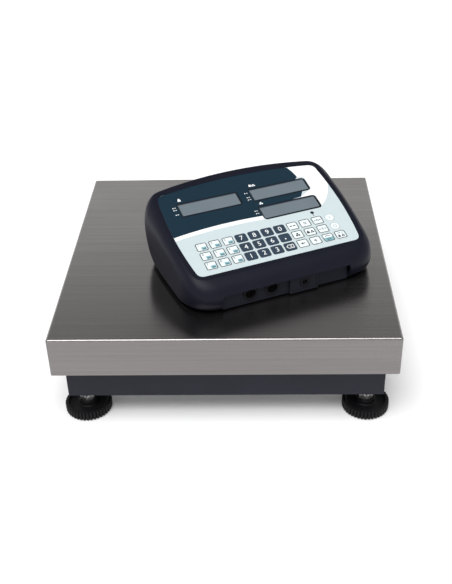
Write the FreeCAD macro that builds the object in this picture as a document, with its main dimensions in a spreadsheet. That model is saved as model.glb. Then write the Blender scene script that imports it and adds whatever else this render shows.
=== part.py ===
import FreeCAD
import Part
import Sketcher
import math
import os
from FreeCAD import Placement, Rotation, Vector

# Counting platform scale: a stainless pan on a load-cell base, with a desk indicator lying turned on the pan.
# Millimetres. The origin is the middle of the footprint at floor level, +Y is the back and +Z is up.

DIMENSIONS = [
    # Weighing pan
    ("pan_side", 400, "side of the square weighing pan"),
    ("pan_top", 124, "weighing surface above the floor"),
    ("pan_skirt", 50, "depth of the folded skirt"),
    ("pan_sheet", 1.5, "stainless sheet thickness"),
    ("pan_bend", 2.6, "outer radius of the folded top edges"),
    ("pan_corner", 2.2, "outer radius of the upright corners"),
    # Base frame
    ("frame_half", 186, "half the side of the base frame"),
    ("frame_bottom", 32.5, "underside of the base frame"),
    ("channel_depth", 30, "flange width of the frame channels"),
    ("channel_height", 40, "height of the frame channels"),
    ("channel_wall", 3, "wall of channels and cross beams"),
    ("beam_half", 30, "half width of both cross beams"),
    ("beam_height", 27, "height of the lower cross beam"),
    ("pad_height", 6, "spacer pad at each end of the load cell"),
    ("pad_half", 20, "half width of the spacer pads"),
    ("pad_inner", 30, "inner end of a spacer pad"),
    ("pad_outer", 80, "outer end of a spacer pad"),
    # Load cell and its bolts
    ("cell_half", 75, "half length of the load cell"),
    ("cell_width", 40, "width of the load cell"),
    ("cell_height", 25, "height of the load cell"),
    ("cell_bore", 8.5, "radius of the strain holes"),
    ("cell_bore_x", 14, "strain hole from the middle"),
    ("cell_slot", 5, "slot between the strain holes"),
    ("bolt_hole", 4, "radius of the M8 holes"),
    ("bolt_shank", 3.9, "radius of an M8 shank"),
    ("bolt_length", 25, "length of an M8 shank"),
    ("bolt_flats", 13, "width across flats of an M8 head"),
    ("bolt_head", 5.3, "height of an M8 head"),
    ("bolt_near", 45, "inner bolt row of the load cell"),
    ("bolt_far", 65, "outer bolt row of the load cell"),
    ("bolt_side", 12, "bolts either side of the middle"),
    ("stop_gap", 0.5, "gap above each overload stop"),
    ("stop_y", 165, "overload stops towards front and rear"),
    # Platform frame
    ("rail_x", 140, "middle of each platform rail"),
    ("rail_width", 30, "width of a rail tube"),
    ("rail_height", 20, "height of a rail tube"),
    ("rail_wall", 2, "wall of a rail tube"),
    ("rail_half", 170, "half length of a rail"),
    ("pan_pad_radius", 10, "rubber pad under the pan"),
    ("pan_pad_y", 150, "pan pads towards front and rear"),
    # Screw feet
    ("foot_place", 167.5, "foot from both centre lines"),
    ("foot_bore", 5.05, "radius of the foot's threaded bore"),
    ("foot_boss", 10, "radius of the weld nut over a foot"),
    ("foot_boss_height", 12, "height of the weld nut"),
    ("stud_radius", 5, "M10 stud"),
    ("stud_low", 4, "lower end of the stud"),
    ("stud_high", 60, "upper end of the stud"),
    ("stud_chamfer", 1, "chamfer at the stud's tip"),
    ("nut_flats", 17, "width across flats of the M10 nut"),
    ("nut_height", 8, "height of the M10 nut"),
    ("wheel_radius", 28, "ribbed rim of the foot wheel"),
    ("wheel_low", 1, "underside of the foot wheel"),
    ("wheel_high", 12, "top of the ribbed rim"),
    ("wheel_web", 9.5, "top of the web inside the rim"),
    ("wheel_rim", 23, "inner radius of the rim"),
    ("hub_radius", 11, "radius of the hub"),
    ("hub_high", 15.5, "top of the hub"),
    ("wheel_fit", 5.04, "radius of the hole round the stud"),
    ("rib_count", 40, "ribs round the rim"),
    ("rib_notch", 1.35, "radius of the groove between ribs"),
    ("sole_radius", 20, "rubber sole"),
    ("sole_high", 2.4, "top of the sole"),
    ("sole_recess", 20.3, "recess of the wheel round the sole"),
    ("sole_clear", 2.5, "roof of that recess"),
    ("wheel_edge", 0.8, "chamfer of the wheel's rim"),
    # Fittings of the base
    ("level_x", -100, "bubble level along the rear channel"),
    ("level_radius", 10, "bubble level"),
    ("level_height", 8, "height of the bubble level"),
    ("gland_x", 60, "cable gland along the rear channel"),
    ("gland_hole", 6, "hole in the rear web"),
    ("gland_thread", 5.9, "thread of the gland"),
    ("gland_bore", 3.2, "cable bore of the gland"),
    ("gland_flats", 16, "hexagon of the gland"),
    ("gland_hex", 4, "thickness of the gland's hexagons"),
    ("gland_dome", 7.5, "radius of the gland's dome"),
    ("gland_end", 199, "rear end of the gland"),
    ("gland_start", 178, "inner end of the gland"),
    # Indicator: place and face
    ("indicator_x", 56.9, "indicator's origin on the pan"),
    ("indicator_y", -70.4, "indicator's origin on the pan"),
    ("indicator_turn", 24.07, "turn of the indicator, degrees"),
    ("face_height", 50.9, "face plane over the indicator's origin"),
    ("face_tilt", 16.84, "slope of the face, degrees"),
    ("case_wall", 3.2, "wall of the case"),
    ("case_low", 6, "lower edge of the upper shell"),
    ("overlay_depth", 1, "recess for the overlay"),
    ("overlay_sheet", 0.8, "thickness of the overlay"),
    ("overlay_gap", 0.2, "gap round the overlay"),
    # Keys
    ("key_pitch_x", 17, "columns of keys"),
    ("key_pitch_y", 15.3, "rows of keys"),
    ("key_width", 14.6, "width of a key"),
    ("key_height", 13.2, "height of a key"),
    ("key_corner", 2.5, "corner of a key"),
    ("key_round", 6.1, "radius of the two round keys"),
    ("key_gap", 0.15, "gap round a key"),
    ("key_top", 0.1, "key's top over the face plane"),
    ("key_plate", 0.55, "thickness of a key's plate"),
    ("key_stem", 2.5, "radius of a key's stem"),
    ("key_stem_end", 6.1, "stem's tip below the face plane"),
    ("slot_width", 180, "slot behind a row of keys"),
    ("slot_height", 8, "slot behind a row of keys"),
    # Main board and displays
    ("board_half", 97, "half width of the main board"),
    ("board_low", -24, "lower edge of the main board"),
    ("board_high", 104, "upper edge of the main board"),
    ("board_top", 8.2, "board's upper side below the face plane"),
    ("board_sheet", 1.6, "thickness of the board"),
    ("switch_side", 6, "side of a tact switch"),
    ("switch_height", 1.6, "height of a tact switch"),
    ("lcd_width", 84, "display module"),
    ("lcd_height", 28, "display module"),
    ("lcd_top", 1.1, "display's glass below the face plane"),
    ("lcd_opening", 1, "case opening wider than the module, each side"),
    # Battery and sockets
    ("battery_length", 134, "sealed battery along the case"),
    ("battery_depth", 60, "sealed battery front to back"),
    ("battery_height", 34, "sealed battery's height"),
    ("battery_front", 40, "front of the battery"),
    ("tray_wall", 2, "battery tray wall"),
    ("tray_height", 12, "battery tray wall's height"),
    ("floor_low", 2.5, "underside of the lower shell"),
    ("floor_high", 5.5, "inside of the lower shell"),
    ("socket_wall_y", -44.5, "outer side of the socket wall"),
    ("socket_wall", 2.5, "thickness of the socket wall"),
    ("socket_wall_left", -84, "left end of the socket wall"),
    ("socket_wall_right", 79, "right end of the socket wall"),
    ("socket_wall_high", 26.5, "top of the socket wall"),
    ("recess_high", 24, "top of the recess in the upper shell"),
    ("signal_left", -49, "left signal socket"),
    ("signal_right", -21, "right signal socket"),
    ("signal_height", 16, "signal sockets above the pan"),
    ("signal_flange", 9.3, "radius of a signal socket's flange"),
    ("signal_barrel", 7.9, "radius of a signal socket's barrel"),
    ("signal_hole", 8, "hole in the socket wall"),
    ("signal_bore", 6.5, "mouth of a signal socket"),
    ("power_left", 1, "left side of the power box"),
    ("power_right", 38, "right side of the power box"),
    ("power_front", -48, "front of the power box"),
    ("power_back", -36, "back of the power box"),
    ("power_low", 2.5, "underside of the power box"),
    ("power_high", 22, "top of the power box"),
    ("power_border", 2, "border round the power box's panel"),
    ("jack_x", 20.5, "power jack"),
    ("jack_height", 14.5, "power jack above the pan"),
    ("jack_radius", 6.4, "power jack's collar"),
    ("jack_bore", 3.2, "power jack's mouth"),
    ("jack_pin", 1.05, "power jack's pin"),
    # Case fastenings
    ("boss_radius", 4.5, "screw boss of the upper shell"),
    ("boss_low", 9, "lower end of the screw bosses"),
    ("screw_hole", 1.5, "pilot hole of a screw boss"),
    ("screw_shank", 1.45, "case screw"),
    ("screw_length", 14, "case screw's shank"),
    ("screw_head", 2.8, "radius of a case screw's head"),
    ("screw_head_height", 1.8, "height of a case screw's head"),
    ("case_foot", 6, "radius of a rubber case foot"),
]


class Size:
    """A dimension that carries its number and its formula in the sheet through sums."""

    def __init__(self, number, formula):
        self.number = number
        self.formula = formula

    def __float__(self):
        return float(self.number)

    def __add__(self, other):
        return Size(float(self) + float(other), f"({formula_of(self)} + {formula_of(other)})")

    def __radd__(self, other):
        return Size(float(other) + float(self), f"({formula_of(other)} + {formula_of(self)})")

    def __sub__(self, other):
        return Size(float(self) - float(other), f"({formula_of(self)} - {formula_of(other)})")

    def __rsub__(self, other):
        return Size(float(other) - float(self), f"({formula_of(other)} - {formula_of(self)})")

    def __mul__(self, other):
        return Size(float(self) * float(other), f"({formula_of(self)} * {formula_of(other)})")

    def __rmul__(self, other):
        return Size(float(other) * float(self), f"({formula_of(other)} * {formula_of(self)})")

    def __truediv__(self, other):
        return Size(float(self) / float(other), f"({formula_of(self)} / {formula_of(other)})")

    def __neg__(self):
        return Size(-float(self), f"(-1 * {formula_of(self)})")


def formula_of(value):
    """Text of a value as the sheet's expressions read it."""
    return value.formula if isinstance(value, Size) else f"({value})"


class Dimensions:
    """The sheet's cells by name."""


document = FreeCAD.newDocument("counting_scale")
sheet = document.addObject("Spreadsheet::Sheet", "sizes")
for row, (alias, value, meaning) in enumerate(DIMENSIONS, 1):
    sheet.set(f"A{row}", meaning)
    sheet.set(f"B{row}", str(value))
    sheet.setAlias(f"B{row}", alias)
document.recompute()

D = Dimensions()
for alias, _, _ in DIMENSIONS:
    setattr(D, alias, Size(sheet.get(alias), f"sizes.{alias}"))

nodes = {}


# ---------------------------------------------------------------- document helpers


def tie(item, **values):
    """Bind properties to the sheet. A double underscore in a name stands for a dot."""
    for name, value in values.items():
        item.setExpression(name.replace("__", "."), formula_of(value))
    return item


def move(item, x=0, y=0, z=0):
    return tie(item, Placement__Base__x=x, Placement__Base__y=y, Placement__Base__z=z)


def node(name, item, frame=None):
    """Register a finished sub-part under its label, seated in a frame where it has one."""
    item.Label = name
    if frame is not None:
        item.Placement = frame
    nodes[name] = item
    return item


def block(x, y, z):
    """Box between a low and a high face along each axis."""
    item = document.addObject("Part::Box", "block")
    tie(item, Length=x[1] - x[0], Width=y[1] - y[0], Height=z[1] - z[0])
    return move(item, x[0], y[0], z[0])


def rod(radius, z, x=0, y=0):
    """Upright cylinder between two heights."""
    item = document.addObject("Part::Cylinder", "rod")
    tie(item, Radius=radius, Height=z[1] - z[0])
    return move(item, x, y, z[0])


def cross_rod(radius, y, x=0, z=0):
    """Cylinder along Y between two depths."""
    item = document.addObject("Part::Cylinder", "cross_rod")
    item.Placement = Placement(Vector(0, 0, 0), Rotation(Vector(1, 0, 0), -90))
    tie(item, Radius=radius, Height=y[1] - y[0])
    return move(item, x, y[0], z)


def hexagon(flats, z, x=0, y=0):
    """Upright hexagonal prism between two heights."""
    item = document.addObject("Part::Prism", "hexagon")
    item.Polygon = 6
    tie(item, Circumradius=flats / math.sqrt(3), Height=z[1] - z[0])
    return move(item, x, y, z[0])


def fuse(*pieces):
    item = document.addObject("Part::MultiFuse", "fuse")
    item.Shapes = list(pieces)
    return item


def cut(base, *tools):
    item = document.addObject("Part::Cut", "cut")
    item.Base = base
    item.Tool = tools[0] if len(tools) == 1 else fuse(*tools)
    return item


def group(*pieces):
    """Separate solids of one node."""
    item = document.addObject("Part::Compound", "group")
    item.Links = list(pieces)
    return item


def corners(x, y):
    """The four places at plus and minus x and y."""
    return [(sx * x, sy * y) for sx in (-1, 1) for sy in (-1, 1)]


# ---------------------------------------------------------------- sketch helpers


def new_body(name):
    return document.addObject("PartDesign::Body", name)


def origin_part(body, role):
    return next(item for item in body.Origin.OriginFeatures if item.Role == role)


def sketch(body, plane, offset=0):
    """Sketch on one of the body's own origin planes, moved along the plane's normal."""
    drawing = body.newObject("Sketcher::SketchObject", "sketch")
    drawing.AttachmentSupport = [(origin_part(body, plane), "")]
    drawing.MapMode = "FlatFace"
    tie(drawing, AttachmentOffset__Base__z=offset)
    return drawing


def hold(drawing, geometry, point, x, y):
    """Keep a sketch point at a place measured from the sketch's origin."""
    for kind, distance in (("DistanceX", x), ("DistanceY", y)):
        index = drawing.addConstraint(
            Sketcher.Constraint(kind, -1, 1, geometry, point, float(distance)))
        drawing.setExpression(f"Constraints[{index}]", formula_of(distance))


def polygon(drawing, points):
    """Closed outline through the given points."""
    first = drawing.GeometryCount
    places = [Vector(float(x), float(y), 0) for x, y in points]
    for start, end in zip(places, places[1:] + places[:1]):
        drawing.addGeometry(Part.LineSegment(start, end), False)
    for step, (x, y) in enumerate(points):
        following = first + (step + 1) % len(points)
        drawing.addConstraint(Sketcher.Constraint("Coincident", first + step, 2, following, 1))
        hold(drawing, first + step, 1, x, y)
    return drawing


def rectangle(drawing, x, y):
    return polygon(drawing, [(x[0], y[0]), (x[1], y[0]), (x[1], y[1]), (x[0], y[1])])


def circle(drawing, radius, x=0, y=0):
    index = drawing.addGeometry(
        Part.Circle(Vector(float(x), float(y), 0), Vector(0, 0, 1), float(radius)), False)
    rule = drawing.addConstraint(Sketcher.Constraint("Radius", index, float(radius)))
    drawing.setExpression(f"Constraints[{rule}]", formula_of(radius))
    hold(drawing, index, 3, x, y)
    return drawing


def extrude(body, kind, drawing, length, reverse=False):
    """Pad along the sketch's normal, or pocket against it; reverse swaps the direction."""
    feature = body.newObject(f"PartDesign::{kind}", kind.lower())
    feature.Profile = drawing
    feature.Reversed = reverse
    return tie(feature, Length=length)


def spin(body, drawing, kind="Revolution"):
    """Full turn about the sketch's own vertical axis."""
    feature = body.newObject(f"PartDesign::{kind}", kind.lower())
    feature.Profile = drawing
    feature.ReferenceAxis = (drawing, ["V_Axis"])
    feature.Angle = 360
    return feature


def dress(body, kind, base, chosen, **values):
    """Fillet or chamfer on chosen edges of the feature before it."""
    feature = body.newObject(f"PartDesign::{kind}", kind.lower())
    feature.Base = (base, chosen)
    return tie(feature, **values)


def edges_where(feature, test):
    """Names of a feature's edges that pass a test."""
    document.recompute()
    return [f"Edge{number}" for number, edge in enumerate(feature.Shape.Edges, 1) if test(edge)]


def faces_where(feature, test):
    """Names of a feature's faces that pass a test."""
    document.recompute()
    return [f"Face{number}" for number, face in enumerate(feature.Shape.Faces, 1) if test(face)]


def is_upright(edge):
    box = edge.BoundBox
    return box.XLength < 1e-6 and box.YLength < 1e-6


def lies_at(height):
    """Test for edges or faces that lie flat at a height."""
    def test(item):
        box = item.BoundBox
        return box.ZLength < 1e-6 and abs(box.ZMin - float(height)) < 1e-6
    return test


# ---------------------------------------------------------------- weighing pan


def make_weighing_pan():
    """Folded tray: flat top, four skirts, open below."""
    body = new_body("pan_body")
    half = D.pan_side / 2
    low = D.pan_top - D.pan_skirt
    top = rectangle(sketch(body, "XY_Plane", low), (-half, half), (-half, half))
    pad = extrude(body, "Pad", top, D.pan_skirt)
    upright = dress(body, "Fillet", pad, edges_where(pad, is_upright), Radius=D.pan_corner)
    top_edges = edges_where(upright, lies_at(D.pan_top))
    folded = dress(body, "Fillet", upright, top_edges, Radius=D.pan_bend)
    shell = body.newObject("PartDesign::Thickness", "shell")
    shell.Base = (folded, faces_where(folded, lies_at(low)))
    shell.Reversed = True
    shell.Mode = 0
    shell.Join = 0
    tie(shell, Value=D.pan_sheet)
    node("weighing_pan", body)


# ---------------------------------------------------------------- base frame


frame_top = D.frame_bottom + D.channel_height
beam_low = D.frame_bottom + D.channel_wall
beam_top = beam_low + D.beam_height
cell_low = beam_top + D.pad_height
cell_top = cell_low + D.cell_height
rail_low = cell_top + D.pad_height
rail_top = rail_low + D.rail_height
BOLT_ROWS = (D.bolt_near, D.bolt_far)


def bolt_places(side):
    """Four bolts of one end of the load cell; side is -1 for the fixed end."""
    return [(side * x, sy * D.bolt_side) for x in BOLT_ROWS for sy in (-1, 1)]


def make_end_channel(side):
    """Front or rear channel with closed ends, open towards the middle, with weld nuts for two feet."""
    outer = D.frame_half
    inner = outer - D.channel_depth
    clear = outer - D.channel_wall
    beyond = inner - D.channel_wall
    ys = (inner, outer) if side > 0 else (-outer, -inner)
    hollow = (beyond, clear) if side > 0 else (-clear, -beyond)
    bar = block((-outer, outer), ys, (D.frame_bottom, frame_top))
    pocket = block((-clear, clear), hollow, (beam_low, frame_top - D.channel_wall))
    bosses = []
    holes = []
    for sx in (-1, 1):
        place = {"x": sx * D.foot_place, "y": side * D.foot_place}
        bosses.append(rod(D.foot_boss, (beam_low, beam_low + D.foot_boss_height), **place))
        holes.append(rod(D.foot_bore, (D.frame_bottom - 1, beam_low + D.foot_boss_height + 1), **place))
        stop = {"x": sx * D.rail_x, "y": side * D.stop_y}
        holes.append(rod(D.bolt_hole, (frame_top - D.channel_wall - 1, frame_top + 1), **stop))
    if side > 0:
        middle = D.frame_bottom + D.channel_height / 2
        holes.append(cross_rod(D.gland_hole, (clear - 1, outer + 1), D.gland_x, middle))
    return cut(fuse(cut(bar, pocket), *bosses), *holes)


def make_side_channel(side):
    """Side channel between the two end channels, open towards the middle."""
    outer = D.frame_half
    inner = outer - D.channel_depth
    clear = outer - D.channel_wall
    beyond = inner - D.channel_wall
    xs = (inner, outer) if side > 0 else (-outer, -inner)
    hollow = (beyond, clear) if side > 0 else (-clear, -beyond)
    bar = block(xs, (-inner, inner), (D.frame_bottom, frame_top))
    pocket = block(hollow, (-outer, outer), (beam_low, frame_top - D.channel_wall))
    return cut(bar, pocket)


def make_base_frame():
    """Welded ring of channels with a cross beam that carries the load cell's fixed end."""
    clear = D.frame_half - D.channel_wall
    wide = D.beam_half
    thin = wide - D.channel_wall
    beam = block((-clear, clear), (-wide, wide), (beam_low, beam_top))
    hollow = block((-clear, clear), (-thin, thin), (beam_low, beam_top - D.channel_wall))
    pad = block((-D.pad_outer, -D.pad_inner), (-D.pad_half, D.pad_half), (beam_top, cell_low))
    holes = [rod(D.bolt_hole, (beam_low, cell_low + 1), x, y) for x, y in bolt_places(-1)]
    cross_beam = cut(fuse(cut(beam, hollow), pad), *holes)
    channels = [make_end_channel(side) for side in (-1, 1)]
    channels += [make_side_channel(side) for side in (-1, 1)]
    node("base_frame", group(cross_beam, *channels))


def make_bolt(place, seat, up):
    """Hexagon-head M8 bolt whose head bears on a seat height, shank up or down from it."""
    x, y = place
    if up:
        head = hexagon(D.bolt_flats, (seat - D.bolt_head, seat), x, y)
        shank = rod(D.bolt_shank, (seat, seat + D.bolt_length), x, y)
    else:
        head = hexagon(D.bolt_flats, (seat, seat + D.bolt_head), x, y)
        shank = rod(D.bolt_shank, (seat - D.bolt_length, seat), x, y)
    return fuse(head, shank)


def make_bolts():
    """Load-cell bolts from below, four overload stops, and the platform's bolts from above."""
    fixed = [make_bolt(place, beam_top - D.channel_wall, True) for place in bolt_places(-1)]
    stop_seat = rail_low - D.stop_gap - D.bolt_head
    stops = [make_bolt(place, stop_seat, False) for place in corners(D.rail_x, D.stop_y)]
    node("base_bolts", group(*fixed, *stops))
    loaded = [make_bolt(place, rail_low + D.channel_wall, False) for place in bolt_places(1)]
    node("platform_bolts", group(*loaded))


def make_load_cell():
    """Single-point bending beam with two joined strain holes."""
    body = new_body("cell_body")
    half = D.cell_half
    side_view = rectangle(sketch(body, "XZ_Plane", -D.cell_width / 2), (-half, half), (cell_low, cell_top))
    extrude(body, "Pad", side_view, D.cell_width)
    middle = cell_low + D.cell_height / 2
    bores = sketch(body, "XZ_Plane", D.cell_width / 2)
    for sx in (-1, 1):
        circle(bores, D.cell_bore, sx * D.cell_bore_x, middle)
    extrude(body, "Pocket", bores, D.cell_width)
    slot = sketch(body, "XZ_Plane", D.cell_width / 2)
    reach = (-D.cell_bore_x, D.cell_bore_x)
    rectangle(slot, reach, (middle - D.cell_slot / 2, middle + D.cell_slot / 2))
    extrude(body, "Pocket", slot, D.cell_width)
    bolts = sketch(body, "XY_Plane", cell_top)
    for x, y in bolt_places(-1) + bolt_places(1):
        circle(bolts, D.bolt_hole, x, y)
    extrude(body, "Pocket", bolts, D.cell_height)
    node("load_cell", body)


def make_platform_frame():
    """Two rail tubes joined by a cross beam that the load cell's free end carries."""
    wide = D.beam_half
    thin = wide - D.channel_wall
    reach = D.rail_x - D.rail_width / 2
    beam = block((-reach, reach), (-wide, wide), (rail_low, rail_top))
    hollow = block((-reach, reach), (-thin, thin), (rail_low + D.channel_wall, rail_top + 1))
    pad = block((D.pad_inner, D.pad_outer), (-D.pad_half, D.pad_half), (cell_top, rail_low))
    holes = [rod(D.bolt_hole, (cell_top - 1, rail_top), x, y) for x, y in bolt_places(1)]
    pieces = [cut(fuse(cut(beam, hollow), pad), *holes)]
    for sx in (-1, 1):
        side = (sx * D.rail_x - D.rail_width / 2, sx * D.rail_x + D.rail_width / 2)
        inside = (side[0] + D.rail_wall, side[1] - D.rail_wall)
        tube = block(side, (-D.rail_half, D.rail_half), (rail_low, rail_top))
        bore = block(inside, (-D.rail_half + D.rail_wall, D.rail_half - D.rail_wall),
                     (rail_low + D.rail_wall, rail_top - D.rail_wall))
        pieces.append(cut(tube, bore))
    node("platform_frame", group(*pieces))
    pad_top = D.pan_top - D.pan_sheet
    pads = [rod(D.pan_pad_radius, (rail_top, pad_top), x, y) for x, y in corners(D.rail_x, D.pan_pad_y)]
    node("pan_pads", group(*pads))


# ---------------------------------------------------------------- screw feet


def make_wheel():
    """Ribbed hand wheel of a foot: rim, web and hub, hollow below round the sole."""
    body = new_body("wheel_body")
    profile = sketch(body, "XZ_Plane")
    polygon(profile, [
        (D.wheel_fit, D.stud_low),
        (D.wheel_fit, D.hub_high),
        (D.hub_radius, D.hub_high),
        (D.hub_radius + 1, D.wheel_web),
        (D.wheel_rim, D.wheel_web),
        (D.wheel_rim + D.wheel_edge, D.wheel_high),
        (D.wheel_radius - D.wheel_edge, D.wheel_high),
        (D.wheel_radius, D.wheel_high - D.wheel_edge),
        (D.wheel_radius, D.wheel_low + D.wheel_edge),
        (D.wheel_radius - D.wheel_edge, D.wheel_low),
        (D.sole_recess, D.wheel_low),
        (D.sole_recess, D.sole_clear),
        (D.wheel_fit + 1, D.sole_clear),
        (D.wheel_fit + 1, D.stud_low),
    ])
    spin(body, profile)
    notch = circle(sketch(body, "XY_Plane", D.wheel_high + 1), D.rib_notch, D.wheel_radius, 0)
    groove = extrude(body, "Pocket", notch, D.wheel_high + 1)
    ribs = body.newObject("PartDesign::PolarPattern", "ribs")
    ribs.Originals = [groove]
    ribs.Axis = (origin_part(body, "Z_Axis"), [""])
    ribs.Angle = 360
    tie(ribs, Occurrences=D.rib_count)
    body.Tip = ribs
    return body


def make_stud():
    """Threaded stud, drawn plain, with a chamfered tip."""
    body = new_body("stud_body")
    profile = sketch(body, "XZ_Plane")
    polygon(profile, [
        (0, D.stud_low),
        (D.stud_radius, D.stud_low),
        (D.stud_radius, D.stud_high - D.stud_chamfer),
        (D.stud_radius - D.stud_chamfer, D.stud_high),
        (0, D.stud_high),
    ])
    spin(body, profile)
    return body


def make_sole():
    """Rubber disc that stands on the floor."""
    body = new_body("sole_body")
    profile = sketch(body, "XZ_Plane")
    polygon(profile, [
        (0, 0),
        (D.sole_radius - 0.5, 0),
        (D.sole_radius, 0.5),
        (D.sole_radius, D.sole_high),
        (0, D.sole_high),
    ])
    spin(body, profile)
    return body


def make_feet():
    """Four feet; the wheel, its stud and the nut on the hub turn as one."""
    for name, sx, sy in (("fl", -1, -1), ("fr", 1, -1), ("rl", -1, 1), ("rr", 1, 1)):
        nut_top = D.hub_high + D.nut_height
        nut = cut(hexagon(D.nut_flats, (D.hub_high, nut_top)),
                  rod(D.wheel_fit, (D.hub_high - 1, nut_top + 1)))
        wheel = node(f"foot_wheel_{name}", group(make_wheel(), make_stud(), nut))
        move(wheel, sx * D.foot_place, sy * D.foot_place, 0)
        sole = node(f"foot_pad_{name}", make_sole())
        move(sole, sx * D.foot_place, sy * D.foot_place, 0)


# ---------------------------------------------------------------- fittings of the base


def make_bubble_level():
    """Round vial in a flanged cup, on the rear channel."""
    body = new_body("level_body")
    profile = sketch(body, "XZ_Plane")
    polygon(profile, [
        (0, 0),
        (D.level_radius, 0),
        (D.level_radius, D.level_height - 0.6),
        (D.level_radius - 0.6, D.level_height),
        (D.level_radius - 2, D.level_height),
        (D.level_radius - 2, D.level_height - 0.6),
        (0, D.level_height - 0.2),
    ])
    spin(body, profile)
    node("bubble_level", body)
    move(body, D.level_x, D.frame_half - D.channel_depth / 2, frame_top)


def make_cable_gland():
    """Gland through the rear web: inner lock nut, thread, hexagon and domed cap."""
    clear = D.frame_half - D.channel_wall
    middle = D.frame_bottom + D.channel_height / 2
    body = new_body("gland_body")
    profile = sketch(body, "XY_Plane")
    dome = D.gland_dome
    polygon(profile, [
        (D.gland_bore, D.gland_start),
        (D.gland_thread, D.gland_start),
        (D.gland_thread, D.frame_half),
        (dome, D.frame_half),
        (dome, D.gland_end - 3),
        (dome - 2.5, D.gland_end),
        (D.gland_bore, D.gland_end),
    ])
    spin(body, profile)
    inner = sketch(body, "XZ_Plane", -clear)
    outer = sketch(body, "XZ_Plane", -(D.frame_half + D.gland_hex))
    flat = D.gland_flats / 2
    tip = D.gland_flats / math.sqrt(3)
    for drawing in (inner, outer):
        polygon(drawing, [(tip, 0), (tip / 2, flat), (-tip / 2, flat),
                          (-tip, 0), (-tip / 2, -flat), (tip / 2, -flat)])
        circle(drawing, D.gland_thread - 0.4)
        extrude(body, "Pad", drawing, D.gland_hex)
    node("cable_gland", body)
    move(body, D.gland_x, 0, middle)


# ---------------------------------------------------------------- indicator frames and outlines


CASE_FRAME = Placement(
    Vector(float(D.indicator_x), float(D.indicator_y), float(D.pan_top)),
    Rotation(Vector(0, 0, 1), float(D.indicator_turn)))
FACE_IN_CASE = Placement(Vector(0, 0, float(D.face_height)), Rotation(Vector(1, 0, 0), float(D.face_tilt)))
FACE_FRAME = CASE_FRAME.multiply(FACE_IN_CASE)

# Cross sections of the case from the bottom up, each in a plane that slopes more and more towards the face:
# slope in degrees, height over the origin, half width front and back, front edge, back corner, back apex,
# how far the corners are eased at the front and at the back, and twice what the sides bow out.
CASE_SECTIONS = (
    (0.0, 6.0, 122.5, 124.0, -46.0, 112.0, 114.0, 44.0, 34.0, 3.5),
    (2.9, 13.0, 123.5, 127.5, -49.5, 116.0, 119.0, 44.0, 32.0, -1.0),
    (8.5, 27.0, 123.5, 130.0, -51.5, 119.0, 124.0, 42.0, 30.0, -3.5),
    (14.0, 41.5, 118.5, 127.0, -48.5, 120.5, 130.5, 34.0, 28.0, 4.5),
    (16.84, 50.9, 110.5, 113.0, -35.0, 117.5, 131.5, 16.0, 11.0, 11.0),
)


def part_of_curve(start, pole, end, low, high):
    """Poles of the stretch of a quadratic curve between two of its parameters."""
    def at(a, b):
        return start * ((1 - a) * (1 - b)) + pole * ((1 - a) * b + a * (1 - b)) + end * (a * b)
    return at(low, low), at(low, high), at(high, high)


def meeting(first, toward, second, onward):
    """Where two lines in a plane meet."""
    cross = toward.x * onward.y - toward.y * onward.x
    gap = second - first
    return first + toward * ((gap.x * onward.y - gap.y * onward.x) / cross)


def bezier(poles):
    curve = Part.BezierCurve()
    curve.setPoles(list(poles))
    return curve.toShape()


def bowed_loop(corner_points, side_poles, eases):
    """Closed loop of four bowed sides with eased corners, flat at height 0."""
    count = len(corner_points)
    sides = []
    for step in range(count):
        start = corner_points[step]
        end = corner_points[(step + 1) % count]
        length = (end - start).Length
        low = eases[step] / length
        high = 1 - eases[(step + 1) % count] / length
        sides.append(part_of_curve(start, side_poles[step], end, low, high))
    edges = []
    for step, side in enumerate(sides):
        following = sides[(step + 1) % count]
        edges.append(bezier(side))
        pole = meeting(side[2], side[2] - side[1], following[0], following[0] - following[1])
        edges.append(bezier((side[2], pole, following[0])))
    return Part.Wire(edges)


def case_loop(front, back, front_edge, back_corner, apex, ease_front, ease_back, bow):
    """Outline of the case across one section: straight front, bowed sides and bowed back."""
    corner_points = [Vector(-front, front_edge), Vector(front, front_edge),
                     Vector(back, back_corner), Vector(-back, back_corner)]
    middle = (front_edge + back_corner) / 2
    side_x = (front + back) / 2 + bow
    poles = [Vector(0, front_edge - 1.0), Vector(side_x, middle),
             Vector(0, 2 * apex - back_corner), Vector(-side_x, middle)]
    return bowed_loop(corner_points, poles, (ease_front, ease_front, ease_back, ease_back))


def section_wire(section, inset=0.0, sink=0.0):
    """One section of the case in its sloping plane, drawn in by an inset and lowered."""
    slope, height, front, back, front_edge, back_corner, apex, ease_front, ease_back, bow = section
    wire = case_loop(front - inset, back - inset, front_edge + inset, back_corner - inset, apex - inset,
                     ease_front - inset, max(ease_back - inset, 4.0), bow)
    wire.Placement = Placement(Vector(0, 0, height - sink), Rotation(Vector(1, 0, 0), slope))
    return wire


def flat_plate(loop, low, high):
    """Plate with the outline of a loop, between two heights."""
    face = Part.Face(loop)
    face.translate(Vector(0, 0, low))
    return face.extrude(Vector(0, 0, high - low))


def box_between(x, y, z):
    box = Part.makeBox(x[1] - x[0], y[1] - y[0], z[1] - z[0])
    box.translate(Vector(x[0], y[0], z[0]))
    return box


def post(radius, z, x, y):
    return Part.makeCylinder(radius, z[1] - z[0], Vector(x, y, z[0]))


def barrel(radius, y, x, z):
    """Cylinder along Y."""
    return Part.makeCylinder(radius, y[1] - y[0], Vector(x, y[0], z), Vector(0, 1, 0))


def in_case(shape):
    """Shape drawn in the face's frame, carried into the case's frame."""
    placed = shape.copy()
    placed.Placement = FACE_IN_CASE.multiply(placed.Placement)
    return placed


def add_shape(name, shape, frame):
    """Sub-part whose free-form shape is worked out in code."""
    item = document.addObject("Part::Feature", name + "_shape")
    item.Shape = shape.removeSplitter()
    return node(name, item, frame)


# ---------------------------------------------------------------- keys


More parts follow.
